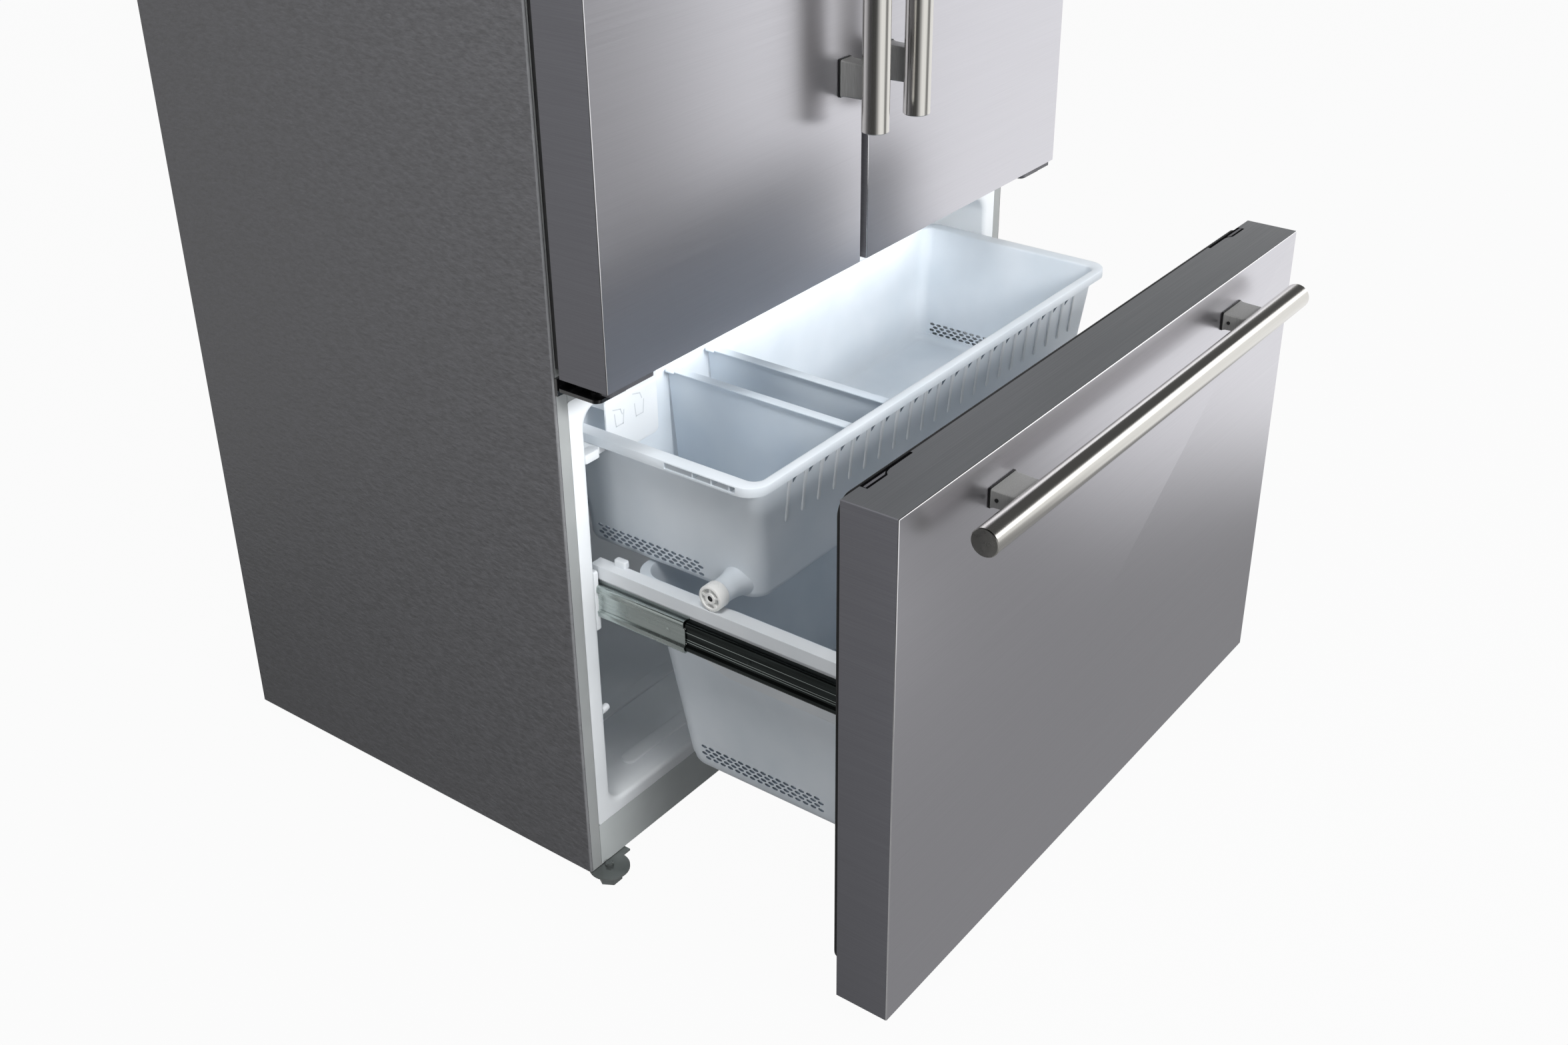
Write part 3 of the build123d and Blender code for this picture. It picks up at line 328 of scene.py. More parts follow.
def add(tree, kind, values=None, links=None, **settings):
    """Adds a node, sets its settings and the constants of its inputs, and links its inputs."""
    node = tree.nodes.new(kind)
    for key, value in settings.items():
        setattr(node, key, value)
    for key, value in (values or {}).items():
        node.inputs[key].default_value = value
    for key, value in (links or {}).items():
        tree.links.new(value, node.inputs[key])
    return node


EVEN = (1, 1, 1)


def finish(name, dark, light, roughness, sizes, depth, stretch=(EVEN,) * 3, detail=(2, 2, 2), metallic=0.0,
           spread=0.05, crystals=False, **sockets):
    """One Principled shader with three noise patterns: tint, gloss and relief.

    sizes, in millimetres, stretch along each axis and detail are given for the three in turn. The tint
    runs from dark to light, the gloss moves the roughness by spread and the relief is a bump of the
    given depth. crystals turns the tint into flat cells of one shade each.
    """
    material = bpy.data.materials.new(name)
    material.use_nodes = True
    tree = material.node_tree
    tree.nodes.clear()
    values = {"Base Color": linear(light), "Roughness": roughness, "Metallic": metallic}
    values.update({key.replace("_", " "): value for key, value in sockets.items()})
    shader = add(tree, "ShaderNodeBsdfPrincipled", values)
    add(tree, "ShaderNodeOutputMaterial", links={"Surface": shader.outputs[0]})
    place = add(tree, "ShaderNodeTexCoord").outputs["Object"]
    fields = []
    for size, shares, fine in zip(sizes, stretch, detail):
        scale = [1000 / (size * share) for share in shares]
        mapped = add(tree, "ShaderNodeMapping", {"Scale": scale}, {"Vector": place})
        noise = add(tree, "ShaderNodeTexNoise", {"Scale": 1.0, "Detail": fine}, {"Vector": mapped.outputs[0]})
        fields.append(noise.outputs["Fac"])
    if crystals:
        cells = add(tree, "ShaderNodeTexVoronoi", {"Scale": 1000 / sizes[0]}, {"Vector": place})
        fields[0] = add(tree, "ShaderNodeSeparateColor", links={"Color": cells.outputs["Color"]}).outputs[0]
    # Most of a noise lies between these levels, so they become its darkest and its lightest.
    shade = add(tree, "ShaderNodeMapRange", {"From Min": 0.28, "From Max": 0.72}, {"Value": fields[0]})
    mix = {6: linear(dark), 7: linear(light)}
    colour = add(tree, "ShaderNodeMix", mix, {0: shade.outputs[0]}, data_type="RGBA")
    limits = {"From Min": 0.3, "From Max": 0.7}
    limits |= {"To Min": max(roughness - spread, 0.01), "To Max": roughness + spread}
    dull = add(tree, "ShaderNodeMapRange", limits, {"Value": fields[1]})
    bump = add(tree, "ShaderNodeBump", {"Distance": depth / 1000}, {"Height": fields[2]})
    outputs = {"Base Color": colour.outputs[2], "Roughness": dull.outputs[0], "Normal": bump.outputs[0]}
    for socket, output in outputs.items():
        tree.links.new(output, shader.inputs[socket])
    return material


def hair_lines(along, wide, run):
    """Stretch of a pattern for lines that are wide across and run long, in millimetres, along one axis."""
    return tuple(run / wide if axis == along else 1 for axis in "xyz")


# Polyester powder coat on steel, cured to a wrinkle: the folds are about 3 mm across and 7 mm long,
# and are drawn 4 mm across so that they show.
COAT = finish("wrinkle powder coat", "#555557", "#6b6b6e", 0.45, (4, 4, 4), 1.1, stretch=((1, 2.3, 1),) * 3,
              detail=(4, 3, 4), spread=0.09)
# On the rounded fold the coat is drawn lighter and glossier than the side: a painted highlight along the
# bend.
COAT_FOLD_HIGHLIGHT = finish("powder coat fold, painted highlight", "#77787a", "#828385", 0.3, (20, 9, 4), 0.04)
# Smooth stoved enamel on the folded front edge: satin mid grey with a faint orange peel.
PEEL = {"sizes": (60, 20, 5), "depth": 0.03, "detail": (2, 2, 1)}
FLANGE = finish("smooth stoved enamel", "#9da0a0", "#a6a9a9", 0.4, **PEEL)
# The toe rail is a paler enamel than the flange.
TOE = finish("pale stoved enamel", "#bcc1c1", "#c5caca", 0.4, **PEEL)
# Belt-brushed stainless steel with a clear coat on the fronts: the hair lines are finer than a pixel,
# so they are drawn 0.6 mm wide and kept faint.
LINES_ACROSS = hair_lines("x", 0.6, 120)
LINES_BACK = hair_lines("y", 0.6, 90)
BRUSHED = (0.6, 1.6, 0.6)
STEEL = finish("brushed stainless front", "#d7d6dc", "#dcdbe1", 0.3, BRUSHED, 0.0012,
               stretch=(LINES_ACROSS,) * 3, metallic=1.0, spread=0.02)
# The returned sides have the same grain, drawn in a much darker, mostly matt copy of the steel: painted
# shade, as they face the dark side of the studio.
STEEL_SIDE_SHADED = finish("steel side, painted shade", "#606065", "#69696e", 0.42, BRUSHED, 0.003,
                    stretch=(LINES_BACK,) * 3, metallic=0.12, spread=0.03)
# The top is drawn in a much darker, half-matt copy of the steel: painted shade for the dark ceiling it faces.
STEEL_TOP_SHADED = finish("brushed stainless top, painted shade", "#66686b", "#717375", 0.38, BRUSHED, 0.004,
                   stretch=(LINES_ACROSS,) * 3, metallic=0.5, spread=0.04)
# The fold of the sheet is drawn in a brighter, glossier copy of the steel: a painted highlight along the
# bend.
EDGE_HIGHLIGHT = finish("steel fold, painted highlight", "#ececef", "#f6f6f8", 0.16, (9, 9, 4), 0.002,
              stretch=(EVEN, (1, 1, 3), EVEN), detail=(2, 2, 1), metallic=1.0)
# Stainless tube linished along its length: warm grey, glossy enough for long streaks of light.
BARS = {}
for along in "zx":
    fine, coarse = hair_lines(along, 0.7, 90), hair_lines(along, 3, 60)
    BARS[along] = finish(f"linished stainless tube {along}", "#dad8d3", "#dfddd8", 0.17, (0.7, 3, 0.7),
                         0.0003, stretch=(fine, coarse, fine), metallic=1.0, spread=0.006)
# Its ends are faced on a lathe: faint rings and a darker grey.
BAR_END = finish("faced bar end", "#a9a8a3", "#bab9b4", 0.3, (9, 6, 3), 0.004, detail=(2, 2, 1),
                 metallic=1.0)
# The gap behind the sheet's top edge is drawn as a flat black strip on the top: painted shade where no light
# comes back.
GAP_SHADE = finish("painted gap shade", "#020203", "#060607", 0.9, (20, 8, 2), 0.02, Specular_IOR_Level=0.08)
# Zinc alloy stand-offs, linished: soft vertical lines.
LINES_UP = hair_lines("z", 0.7, 16)
POST = finish("linished zinc alloy", "#8b8b8a", "#9c9c9b", 0.36, (0.7, 2, 0.7), 0.006,
              stretch=(LINES_UP, EVEN, LINES_UP), metallic=0.5)
# Vacuum-formed polystyrene: cool white with a soft sheen and the slow waves of a drawn sheet.
LINER = finish("vacuum formed polystyrene", "#e9edf0", "#f3f6f9", 0.3, (110, 30, 40), 0.05,
               detail=(2, 2, 1), spread=0.02)
# Injection-moulded polypropylene: slightly waxy white.
WHITE = finish("moulded white polypropylene", "#dde2e6", "#e8ebee", 0.36, (90, 22, 4), 0.02)
# Clarified polypropylene with an etched mould: bluish and milky, light bleeds a little through it.
ETCHED = (80, 22, 2.5)
MILKY = {"IOR": 1.49, "Transmission_Weight": 0.03}
FROST = finish("frosted polypropylene", "#dbe3ea", "#e5ebf1", 0.36, ETCHED, 0.012, **MILKY)
# The walls of its small holes are drawn dark grey: painted shade, so they read as dark slits.
HOLE_SHADE = finish("frosted polypropylene, painted hole shade", "#727d89", "#7f8a95", 0.5, ETCHED, 0.01)
DIVIDER = finish("frosted divider sheet", "#cfdae5", "#dae3eb", 0.34, ETCHED, 0.01, **MILKY)
# Clear polystyrene bins and shelf glass, with the faint wipe marks of clean plastic and glass.
WIPED = {"stretch": (EVEN, (1, 4, 1), EVEN), "detail": (1, 2, 1)}
CLEAR = finish("clear polystyrene", "#eaf1f4", "#f0f6f8", 0.08, (90, 35, 60), 0.03, spread=0.04,
               Transmission_Weight=0.75, IOR=1.59, **WIPED)
GLASS = finish("toughened shelf glass", "#e0efe8", "#e6f2ec", 0.03, (90, 35, 80), 0.02, spread=0.02,
               Transmission_Weight=0.95, IOR=1.52, **WIPED)
# Soft PVC gasket: dull black with a fine extrusion skin.
RUBBER = finish("black soft PVC", "#0b0b0c", "#121213", 0.5, (20, 8, 1.5), 0.03)
# Moulded ABS trims, black and dark grey, with a spark-eroded grain.
GRAIN = (30, 8, 1.2)
BLACK = finish("black ABS", "#111112", "#19191a", 0.4, GRAIN, 0.03)
CAP = finish("grey ABS trim", "#4b4b4f", "#545458", 0.4, GRAIN, 0.03)
DARK = finish("dark grey ABS", "#2b2c2e", "#343537", 0.5, GRAIN, 0.04)
# Dipped enamel on pressed steel: black, wet-looking, a little wavy.
BLACK_STEEL = finish("black dipped enamel", "#0c0c0d", "#141416", 0.18, (12, 14, 6), 0.25, Coat_Weight=0.6,
                     Coat_Roughness=0.08)
# Rigid polyurethane foam: straw-coloured, open small cells.
FOAM = finish("polyurethane foam", "#cdbb7e", "#e4d6a2", 0.9, (1.6, 3, 1.6), 0.5, detail=(4, 2, 4))
# Cold-rolled steel with bright zinc plating: smooth, streaky, faintly green.
STREAKS = {"sizes": (5, 6, 9), "stretch": ((1, 16, 1), (1, 10, 1), (1, 8, 1)), "metallic": 1.0}
ZINC = finish("bright zinc plate", "#b9c3c0", "#c9d2cf", 0.26, depth=0.003, spread=0.03, **STREAKS)
DARK_ZINC = finish("black zinc plate", "#2e3231", "#434948", 0.24, depth=0.02, detail=(3, 2, 2),
                   spread=0.06, **STREAKS)
# Hot-dip galvanised sheet: flat crystals about 9 mm across.
GALVANISED = finish("galvanised sheet", "#9ba0a3", "#b9bdbf", 0.38, (9, 6, 1), 0.01, metallic=1.0,
                    crystals=True)
# Passivated steel plate of the feet and brackets.
PLATE = finish("passivated steel plate", "#6f7473", "#8b908f", 0.2, (40, 18, 12), 0.006, metallic=0.6,
               spread=0.03)
# Drawn aluminium tube and fins, and drawn steel wire: draw marks along their length.
DRAWN = (0.8, 6, 2)
TUBE = finish("drawn aluminium", "#c1c3c5", "#d4d6d8", 0.36, DRAWN, 0.01,
              stretch=(LINES_ACROSS, EVEN, EVEN), metallic=1.0)
WIRE = finish("drawn steel wire", "#aeb0b2", "#c8cacb", 0.25, DRAWN, 0.01,
              stretch=(LINES_BACK, EVEN, EVEN), metallic=1.0)
# Moulded acetal wheels: clean white, slightly shiny.
MOULDED = (30, 9, 3)
NYLON = finish("moulded acetal", "#f2f2f0", "#f9f9f7", 0.3, MOULDED, 0.01)
# The sunk floor of a wheel's face is drawn greyer and duller: painted shade in the pocket.
POCKET_SHADE = finish("moulded acetal, painted pocket shade", "#b9bcbd", "#c4c7c8", 0.5, MOULDED, 0.01)
# Pad-printed pictograms on the apron: one thin coat of pale grey ink.
MARK = finish("grey pad print", "#cdd2d6", "#d6dade", 0.5, (6, 3, 1), 0.005)

# The nodes that keep their CAD shape, by the material they are given.
KEPT = (
    (LINER, "fridge_liner evaporator_cover air_duct control_housing drawer_inner"),
    (LINER, "door_left_inner door_right_inner"),
    (CLEAR, "crisper_left crisper_right door_left_bins door_right_bins"),
    (WHITE, "shelf_ladders shelf_frames crisper_cover mullion_flap"),
    (CAP, "door_left_caps door_right_caps"),
    (BLACK, "hinge_covers power_inlet drawer_cap"),
    (DARK, "fan_shroud condenser_fan evaporator_fan"),
    (BLACK_STEEL, "compressor hinge_brackets"),
    (GALVANISED, "rear_panel machine_cover"),
    (PLATE, "base_frame levelling_foot_left levelling_foot_right"),
    (TUBE, "condenser_coil evaporator ice_maker"),
    (NYLON, "front_rollers rear_rollers"),
    (GLASS, "shelf_glass"), (FLANGE, "mullion_rail"), (TOE, "toe_rail"), (FOAM, "foam_insulation"),
    (WIRE, "bail_arm"),
)
for material, nodes in KEPT:
    for node in nodes.split():
        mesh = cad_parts[node].data
        mesh.materials.clear()
        mesh.materials.append(material)

# ================= Case =================


def case_shell():
    """Wrapper carried over an arch: a flat flange, a front fold, the side back, and inside again.

    On the fold the inset is fold (1 - sin t) at a depth of fold (1 - cos t).
    """
    fold, flange, corner, sheet = 3.5, 19, 4.0, 1
    turn = np.linspace(0, pi / 2, 7)
    back = CASE_HIGH[1]
    profile = [(flange, 0), (fold, 0)]
    profile += [(fold * (1 - sin(t)), fold * (1 - cos(t))) for t in turn[1:]]
    profile += [(0, back), (sheet, back), (sheet, fold), (fold, sheet), (flange, sheet)]
    # The middle three bands of the front fold take the painted highlight.
    slots = [1, 0] + [2] * 3 + [0] * 4 + [1] * 4
    return bent_sheet(CASE_LOW, CASE_HIGH, corner, profile, slots, closed=True)


make("case_shell", "cabinet", [case_shell()], [COAT, FLANGE, COAT_FOLD_HIGHLIGHT], ["outer_case"])

# ================= Doors =================

DOORS = {name: span(f"door_{name}_skin") for name in ("left", "right")}
# Radius of the bend and width of the return at the back of the doors' and the drawer's sheet.
FOLD_RADIUS, INNER_FOLD, LIP = 1.6, 0.4, 9


def folded_skin(low, high):
    """Sheet folded round three sides of a door: section in plan carried straight up.

    The section runs from the back of one side forwards, round a fold of one radius, across the
    front, round the other fold and back, then returns inside by the sheet's thickness.
    """
    def run(inset, bend):
        near = [(LIP, high[1] - inset), (inset, high[1] - inset)]
        near += [(inset + bend * (1 - cos(t)), low[1] + inset + bend * (1 - sin(t)))
                 for t in np.linspace(0, pi / 2, 7)]
        far = [(high[0] - across, depth) for across, depth in near[::-1]]
        return [(low[0] + across, depth) for across, depth in near] + far

    outer, inner = run(0, FOLD_RADIUS), run(SHEET, INNER_FOLD)
    # The side in painted shade, the fold's painted highlight, the front, the other fold's highlight, then
    # sides again.
    slots = np.repeat([1, 2, 0, 2, 1], (3, 4, 3, 4, 2 * len(outer) - 14))
    return straight_sheet("z", outer, inner, low[2], high[2], slots)


for name, (low, high) in DOORS.items():
    make(f"door_{name}_sheet", f"{name}_door", [folded_skin(low, high)], [STEEL, STEEL_SIDE_SHADED, EDGE_HIGHLIGHT],
         [f"door_{name}_skin"])


def seal(low, high):
    """Bellows gasket: a foot in the door, one soft fold each side, and the magnet's flat strip.

    section is its outer side, as (inset, share of the depth), then its inner side, which mirrors it.
    """
    section = [(0, 0), (0.2, 0.12), (2.6, 0.2), (3.4, 0.36), (1.4, 0.5), (0.4, 0.62), (0, 0.8), (0.5, 1)]
    wide, corner, deep = 14, 20, high[1] - low[1]
    section += [(wide - inset, share) for inset, share in section[::-1]]
    rows = [((low[0] + inset, low[2] + inset), (high[0] - inset, high[2] - inset), corner - inset,
             low[1] + share * deep) for inset, share in section]
    return stack("y", rows, ring=True)


for name, side in zip(DOORS, SIDES):
    low, high = span(f"door_{name}_gasket")
    # The fold on the hinge side ends 5 mm from the door's edge and closes the gap beside the flange: a black
    # rubber lip, partly gasket and partly painted shade for the dark gap there.
    corners = (side * 450, low[1] + 0.2, low[2] + 2), (side * 432, high[1] - 0.4, high[2] - 2)
    fold = soft_box(*corners, 2, 0.9, "y")
    make(f"door_{name}_seal", f"{name}_door", [seal(low, high), fold], [RUBBER],
         [f"door_{name}_gasket"], sharp=50)
make("drawer_seal", "drawer", [seal(*span("drawer_gasket"))], [RUBBER],
     ["drawer_gasket"], sharp=50)

# ================= Handles =================


def bar(axis, centre, length, radius):
    """Ground bar with a small bevel at each end and a turned face of very shallow rings."""
    half = length / 2
    rings = [(-half + 0.07 * (i % 2), r) for i, r in enumerate(np.linspace(0.6, radius - 1.4, 17))]
    end = rings + [(-half, radius - 1), (-half + 1, radius)]
    profile = end + [(-along, r) for along, r in end[::-1]]
    slots = [1] * (len(end) - 1) + [0] + [1] * (len(end) - 1)
    return turned(axis, centre, profile, around=96, slots=slots)


def posts(places, size, bar_at, face, screwed):
    """Stand-offs from the face to the bar: an eased block, a black pad and, if screwed, a black disc that
    paints the screw's bore as shade.

    The block's section is widest at the face and draws in by 1.6 mm at the bar.
    """
    patches, pad = [], 0.6
    half = np.array(size) / 2
    for across, height in places:
        middle = np.array([across, height])
        rows = [(middle - half + draw, middle + half - draw, radius, depth) for depth, draw, radius in
                ((bar_at, 1.6, 2.4), (face - 5.2, 0.8, 2), (face - 2.2, 0, 2), (face - 1.6, 0.4, 2))]
        patches.append(stack("y", rows, slot=2))
        (left, low), (right, high) = middle - half - pad, middle + half + pad
        patches.append(soft_box((left, face - 1.7, low), (right, face, high), 2.4, 0.3, "y", slot=3))
        if screwed:
            # A black disc on the block's side paints the screw's bore as shade.
            edge = across - half[0]
            screw = [(edge - 0.05, 2.2), (edge + 0.5, 2.2), (edge + 0.5, 1.4), (edge + 1.4, 1.4)]
            patches.append(turned("x", (0, face - 9, height), screw, around=20, slot=3))
    return patches


def pull(body, node, name, axis, post_size, post_shift, screwed=False):
    """Makes a bar along an axis with two stand-offs, post_shift each way from its middle."""
    low, high = span(node)
    along = "xyz".index(axis)
    radius = (high - low)[2 - along] / 2
    middle, length = (low + high) / 2, high[along] - low[along]
    depth = low[1] + radius
    places = [middle[[0, 2]] + side * post_shift * (np.arange(0, 3, 2) == along) for side in SIDES]
    parts = [bar(axis, (middle[0], depth, middle[2]), length, radius)]
    parts += posts(places, post_size, depth, high[1], screwed)
    make(name, body, parts, [BARS[axis], BAR_END, POST, BLACK], [node])


for name in DOORS:
    pull(f"{name}_door", f"door_{name}_handle", f"door_{name}_pull", "z", post_size=(22, 42), post_shift=316)
pull("drawer", "drawer_handle", "drawer_pull", "x", post_size=(50, 22), post_shift=268.5, screwed=True)

# ================= Drawer front =================


def drawer_sheet():
    """Front, two sides and top of one folded sheet, outside and inside.

    On the bend the inset is the radius times (1 - cos t) and the depth the radius times (1 - sin t).
    """
    low, high, corner = DRAWER_LOW, DRAWER_HIGH, 1.2
    outside = [(LIP, high[1]), (0, high[1])]
    outside += [(FOLD_RADIUS * (1 - cos(t)), low[1] + FOLD_RADIUS * (1 - sin(t)))
                for t in np.linspace(0, pi / 2, 7)]
    inside = [(LIP, high[1] - SHEET), (SHEET, high[1] - SHEET), (SHEET, low[1] + SHEET + INNER_FOLD),
              (SHEET + INNER_FOLD, low[1] + SHEET)]
    # The sides take their painted shade, the folds their painted highlight and the top, by roof, its painted
    # shade.
    return [bent_sheet(low, high, corner, outside, [1] * 3 + [2] * 4 + [0], roof=3),
            bent_sheet(low, high, corner, inside, [1] * 3)]


def top_slots():
    """Black strip, painted shade for the slot, and grey trim on each side of the top: narrow inwards, a
    slanted step, then 9 mm wide.
    """
    back, top = DRAWER_HIGH[1], DRAWER_HIGH[2]
    # Distance from the middle and from the back edge.
    slot = [(336, 0.05), (336, 3.4), (340, 3.4), (377, 3.4), (384, 5), (389, 9), (423, 9), (423, 0.05)]
    trim = [(384, 3.2), (389.5, 6.2), (422, 6.2), (422, 3.2)]
    patches = []
    for side in SIDES:
        for run, under, over, material in ((slot, 0.6, 0.03, 4), (trim, 0.5, 0.05, 5)):
            flat = [(side * across, back - inward) for across, inward in run]
            patches.append(prism("z", flat, top - under, top + over, slot=material))
    return patches


make("drawer_sheet", "drawer", drawer_sheet() + top_slots(), [STEEL, STEEL_SIDE_SHADED, EDGE_HIGHLIGHT, STEEL_TOP_SHADED, GAP_SHADE, CAP],
     ["drawer_skin"])

# ================= Upper basket =================


def wall_at(height, low_row, high_row):
    """Half width, front and back of a tapered wall at a height, straight between two rows."""
    share = (height - low_row[3]) / (high_row[3] - low_row[3])
    return [a + (b - a) * share for a, b in zip(low_row[:3], high_row[:3])]


def tub_rows(low_row, high_row, heights, radius, draw=0.0):
    """Rows of a tapered tub at given heights; a row there is half width, front, back and height."""
    rows = []
    for height in heights:
        half, front, back = wall_at(height, low_row, high_row)
        rows.append(((draw - half, front + draw), (half - draw, back - draw), radius, height))
    return rows


def rounded_foot(low_row, radius, draw, corner):
    """Rows of a quarter round from a tub's floor up to its wall, both drawn in by the same amount."""
    half, front, back, level = low_row
    rows = []
    for t in np.linspace(0, pi / 2, 5):
        inward = draw + radius * (1 - sin(t))
        height = level + draw + radius * (1 - cos(t))
        round_corner = np.maximum(np.array(corner) - inward + draw, 6)
        rows.append(((inward - half, front + inward), (half - inward, back - inward), round_corner, height))
    return rows


def pierced_tub(rows, stops, in_band, sides, columns, half_hole):
    """Loops of a tub, its two pierced panels and the quads that these take up.

    A panel runs from a first to a last column. Outside it lies between the rows 5 and 6, counted from
    0 at the floor, and inside between in_band and the row after it.
    """
    loops = np.array([lift(outline(a, b, radius, stops), height, "z") for a, b, radius, height in rows])
    patches, windows = [], []
    for first, last in sides:
        outer, inner, gone = opening(loops, 5, in_band, first, last)
        patches.append(pierced(outer, inner, columns, half_hole))
        windows += gone
    return loops, patches, windows


WALL = 2.5
rim_half = 386
upper_top, upper_low = UPPER_HIGH[2], 421
rim_front, rim_back = UPPER_LOW[1], UPPER_HIGH[1]
# Half width, front, back and height of the wall at the floor and at the rim.
low_row = (350, rim_front + 25, rim_back - 14, upper_low)
high_row = (369, rim_front + 10, rim_back - 10, upper_top)
# Heights between which the wall is perforated.
band_low, band_high = 430.5, 450.0
# Depths where the perforations and the grip begin and end.
BAND = (-110.5, 47.5)
GRIP = (-184.0, -87.0)
STOPS = (GRIP[0], BAND[0], GRIP[1], BAND[1])


def upper_basket():
    """Basket wall: one run of rows up its outside, over the rim and down its inside to the floor.

    Each row is a rounded rectangle. Its half width, front and back run straight from low_row to
    high_row, and the rim's inner edge draws in by ease (1 - sin t) as it falls by ease (1 - cos t).
    """
    rim = (rim_half, rim_front, rim_back)

    def level(inset, height, radius):
        return ((inset - rim[0], rim[1] + inset), (rim[0] - inset, rim[2] - inset), radius, height)

    outside = rounded_foot(low_row, 9, 0, (24, 17))
    for height, radius in ((band_low, (24, 17)), (band_high, (23, 17)), (500, (20, 16)), (upper_top - 5, 15)):
        outside += tub_rows(low_row, high_row, (height,), radius)
    tuck = wall_at(upper_top - 3, low_row, high_row)
    outside.append(((-tuck[0] - 1.2, tuck[1] - 1.2), (tuck[0] + 1.2, tuck[2] + 1.2), 15.5, upper_top - 3.4))
    skirt = [level(inset, upper_top - under, radius) for inset, under, radius in
             ((WALL, 3.4, 23.5), (WALL, 9, 23.5), (WALL, 11, 23.5), (0, 11, 26), (0, 9, 26), (0, 1.6, 26),
              (0.5, 0.5, 25.5), (1.6, 0, 24.5))]
    lip = wall_at(upper_top, low_row, high_row)
    over, ease = [], 3
    for t in np.linspace(0, pi / 2, 4):
        thin = WALL - ease * (1 - sin(t))
        over.append(((thin - lip[0], lip[1] + thin), (lip[0] - thin, lip[2] - thin), 14,
                     upper_top - ease * (1 - cos(t))))
    inside = tub_rows(low_row, high_row, (500,), (18, 14), WALL)
    inside += tub_rows(low_row, high_row, (band_high, band_low + 2.5), (21, 15), WALL)
    floor = rounded_foot(low_row, 9, WALL, (22, 15))[::-1]
    rows = outside + skirt + over + inside + floor
    # Columns of the stops on the two sides; the perforations span two of them, the grip one.
    right, left = ARC + 1, 3 * (ARC + 1) + 4
    in_band = len(outside) + len(skirt) + len(over) + 1
    sides = (right + 1, right + 3), (left + 2, left)
    loops, patches, windows = pierced_tub(rows, STOPS, in_band, sides, 14, (4.1, 2.15))
    outer, inner, gone = opening(loops, len(outside) + 4, len(outside), left + 3, left + 1)
    return patches + [reveal(outer, inner), skin_of(loops, windows=windows + gone)]


parts = upper_basket()
# Three upright webs behind the grip's opening in the rim.
for depth in (-174, -150, -124.5):
    low, high = (-rim_half + 1.2, depth - 1, upper_top - 10.5), (-rim_half + 14, depth + 1, upper_top - 3)
    parts.append(soft_box(low, high, 0.5, 0.4))


def front_bar(across):
    """Slim upright bar on the front wall: it hangs from the rim, thins and ends in a round foot.

    Its half width and its stand-off from the wall each run straight between values at set heights.
    """
    levels = np.array([upper_top - 4, upper_top - 30, 524, 517, 512.5, 510.8])
    half = np.array([3.6, 2.8, 2.3, 2.8, 2.1, 0.6])
    proud = np.array([2.8, 2.0, 1.5, 2.0, 1.4, 0.3])
    loops = []
    for level, wide, out in zip(levels, half, proud):
        front = wall_at(level, low_row, high_row)[1]
        flat = outline((across - wide, front - out), (across + wide, front + 1), wide * 0.6)
        loops.append(lift(flat, level, "z"))
    return skin_of(loops[::-1], slot=2)


def corner_rib(across):
    """Thin triangular rib in the corner between the front wall and the rim."""
    top = upper_top - 4
    front_top = wall_at(top, low_row, high_row)[1]
    front_low = wall_at(top - 31, low_row, high_row)[1]
    section = [(front_top + 1, top), (front_top - 6.4, top), (front_top - 6.4, top - 7),
               (front_low + 0.8, top - 26)]
    return prism("x", section, across - 0.8, across + 0.8, slot=1)


BAR_PITCH, BARS_LEFT, RIBS_LEFT = 29.62, -311, -303
parts += [front_bar(BARS_LEFT + i * BAR_PITCH) for i in range(22)]
parts += [corner_rib(RIBS_LEFT + i * BAR_PITCH) for i in range(21)]
# Three long low ridges on the floor.
for depth in (-96, -74, -52):
    low, high = (-96, depth - 5, upper_low + 1), (322, depth + 5, upper_low + WALL + 2.2)
    parts.append(soft_box(low, high, 4.9, 1.8))
wheel_low, wheel_high = span("basket_rollers")
wheel_at = (wheel_low + wheel_high) / 2
AXLE = (0, wheel_at[1], wheel_at[2])
BOSS = [(348, 20), (354, 17.5), (361, 15.6), (370, 14.4), (381, 13.8), (382.5, 13)]
PIN = [(378, 3.1), (397.5, 3.1), (398, 2.6)]
for side in SIDES:
    for profile in (BOSS, PIN):
        parts.append(turned("x", AXLE, [(side * along, radius) for along, radius in profile], around=32))
make("sliding_basket", "sliding_basket", parts, [FROST, HOLE_SHADE, WHITE], ["upper_basket"])

# ================= Dividers =================


def divider(across):
    """Frosted sheet across the basket with a flat folded top and a clip at its back."""
    low, high = span("basket_dividers")
    top, foot = high[2], low[2]
    lean = 15 * (top - foot) / (upper_top - upper_low)
    front, back = low[1], high[1]
    section = [(front + lean + 4, foot), (back - lean - 4, foot), (back - lean, foot + 4), (back, top - 1),
               (front, top - 1), (front + lean, foot + 4)]
    return [prism("x", section, across - 1.1, across + 1.1),
            soft_box((across - 6.5, front, top - 2.2), (across + 6.5, back, top), 1.5, 0.8),
            soft_box((across - 9, back - 14, top - 3), (across + 9, back - 1, top - 0.4), 2.5, 0.9)]


make("divider_sheets", "sliding_basket", divider(-195) + divider(-120), [DIVIDER],
     ["basket_dividers"])

# ================= Basket rollers =================


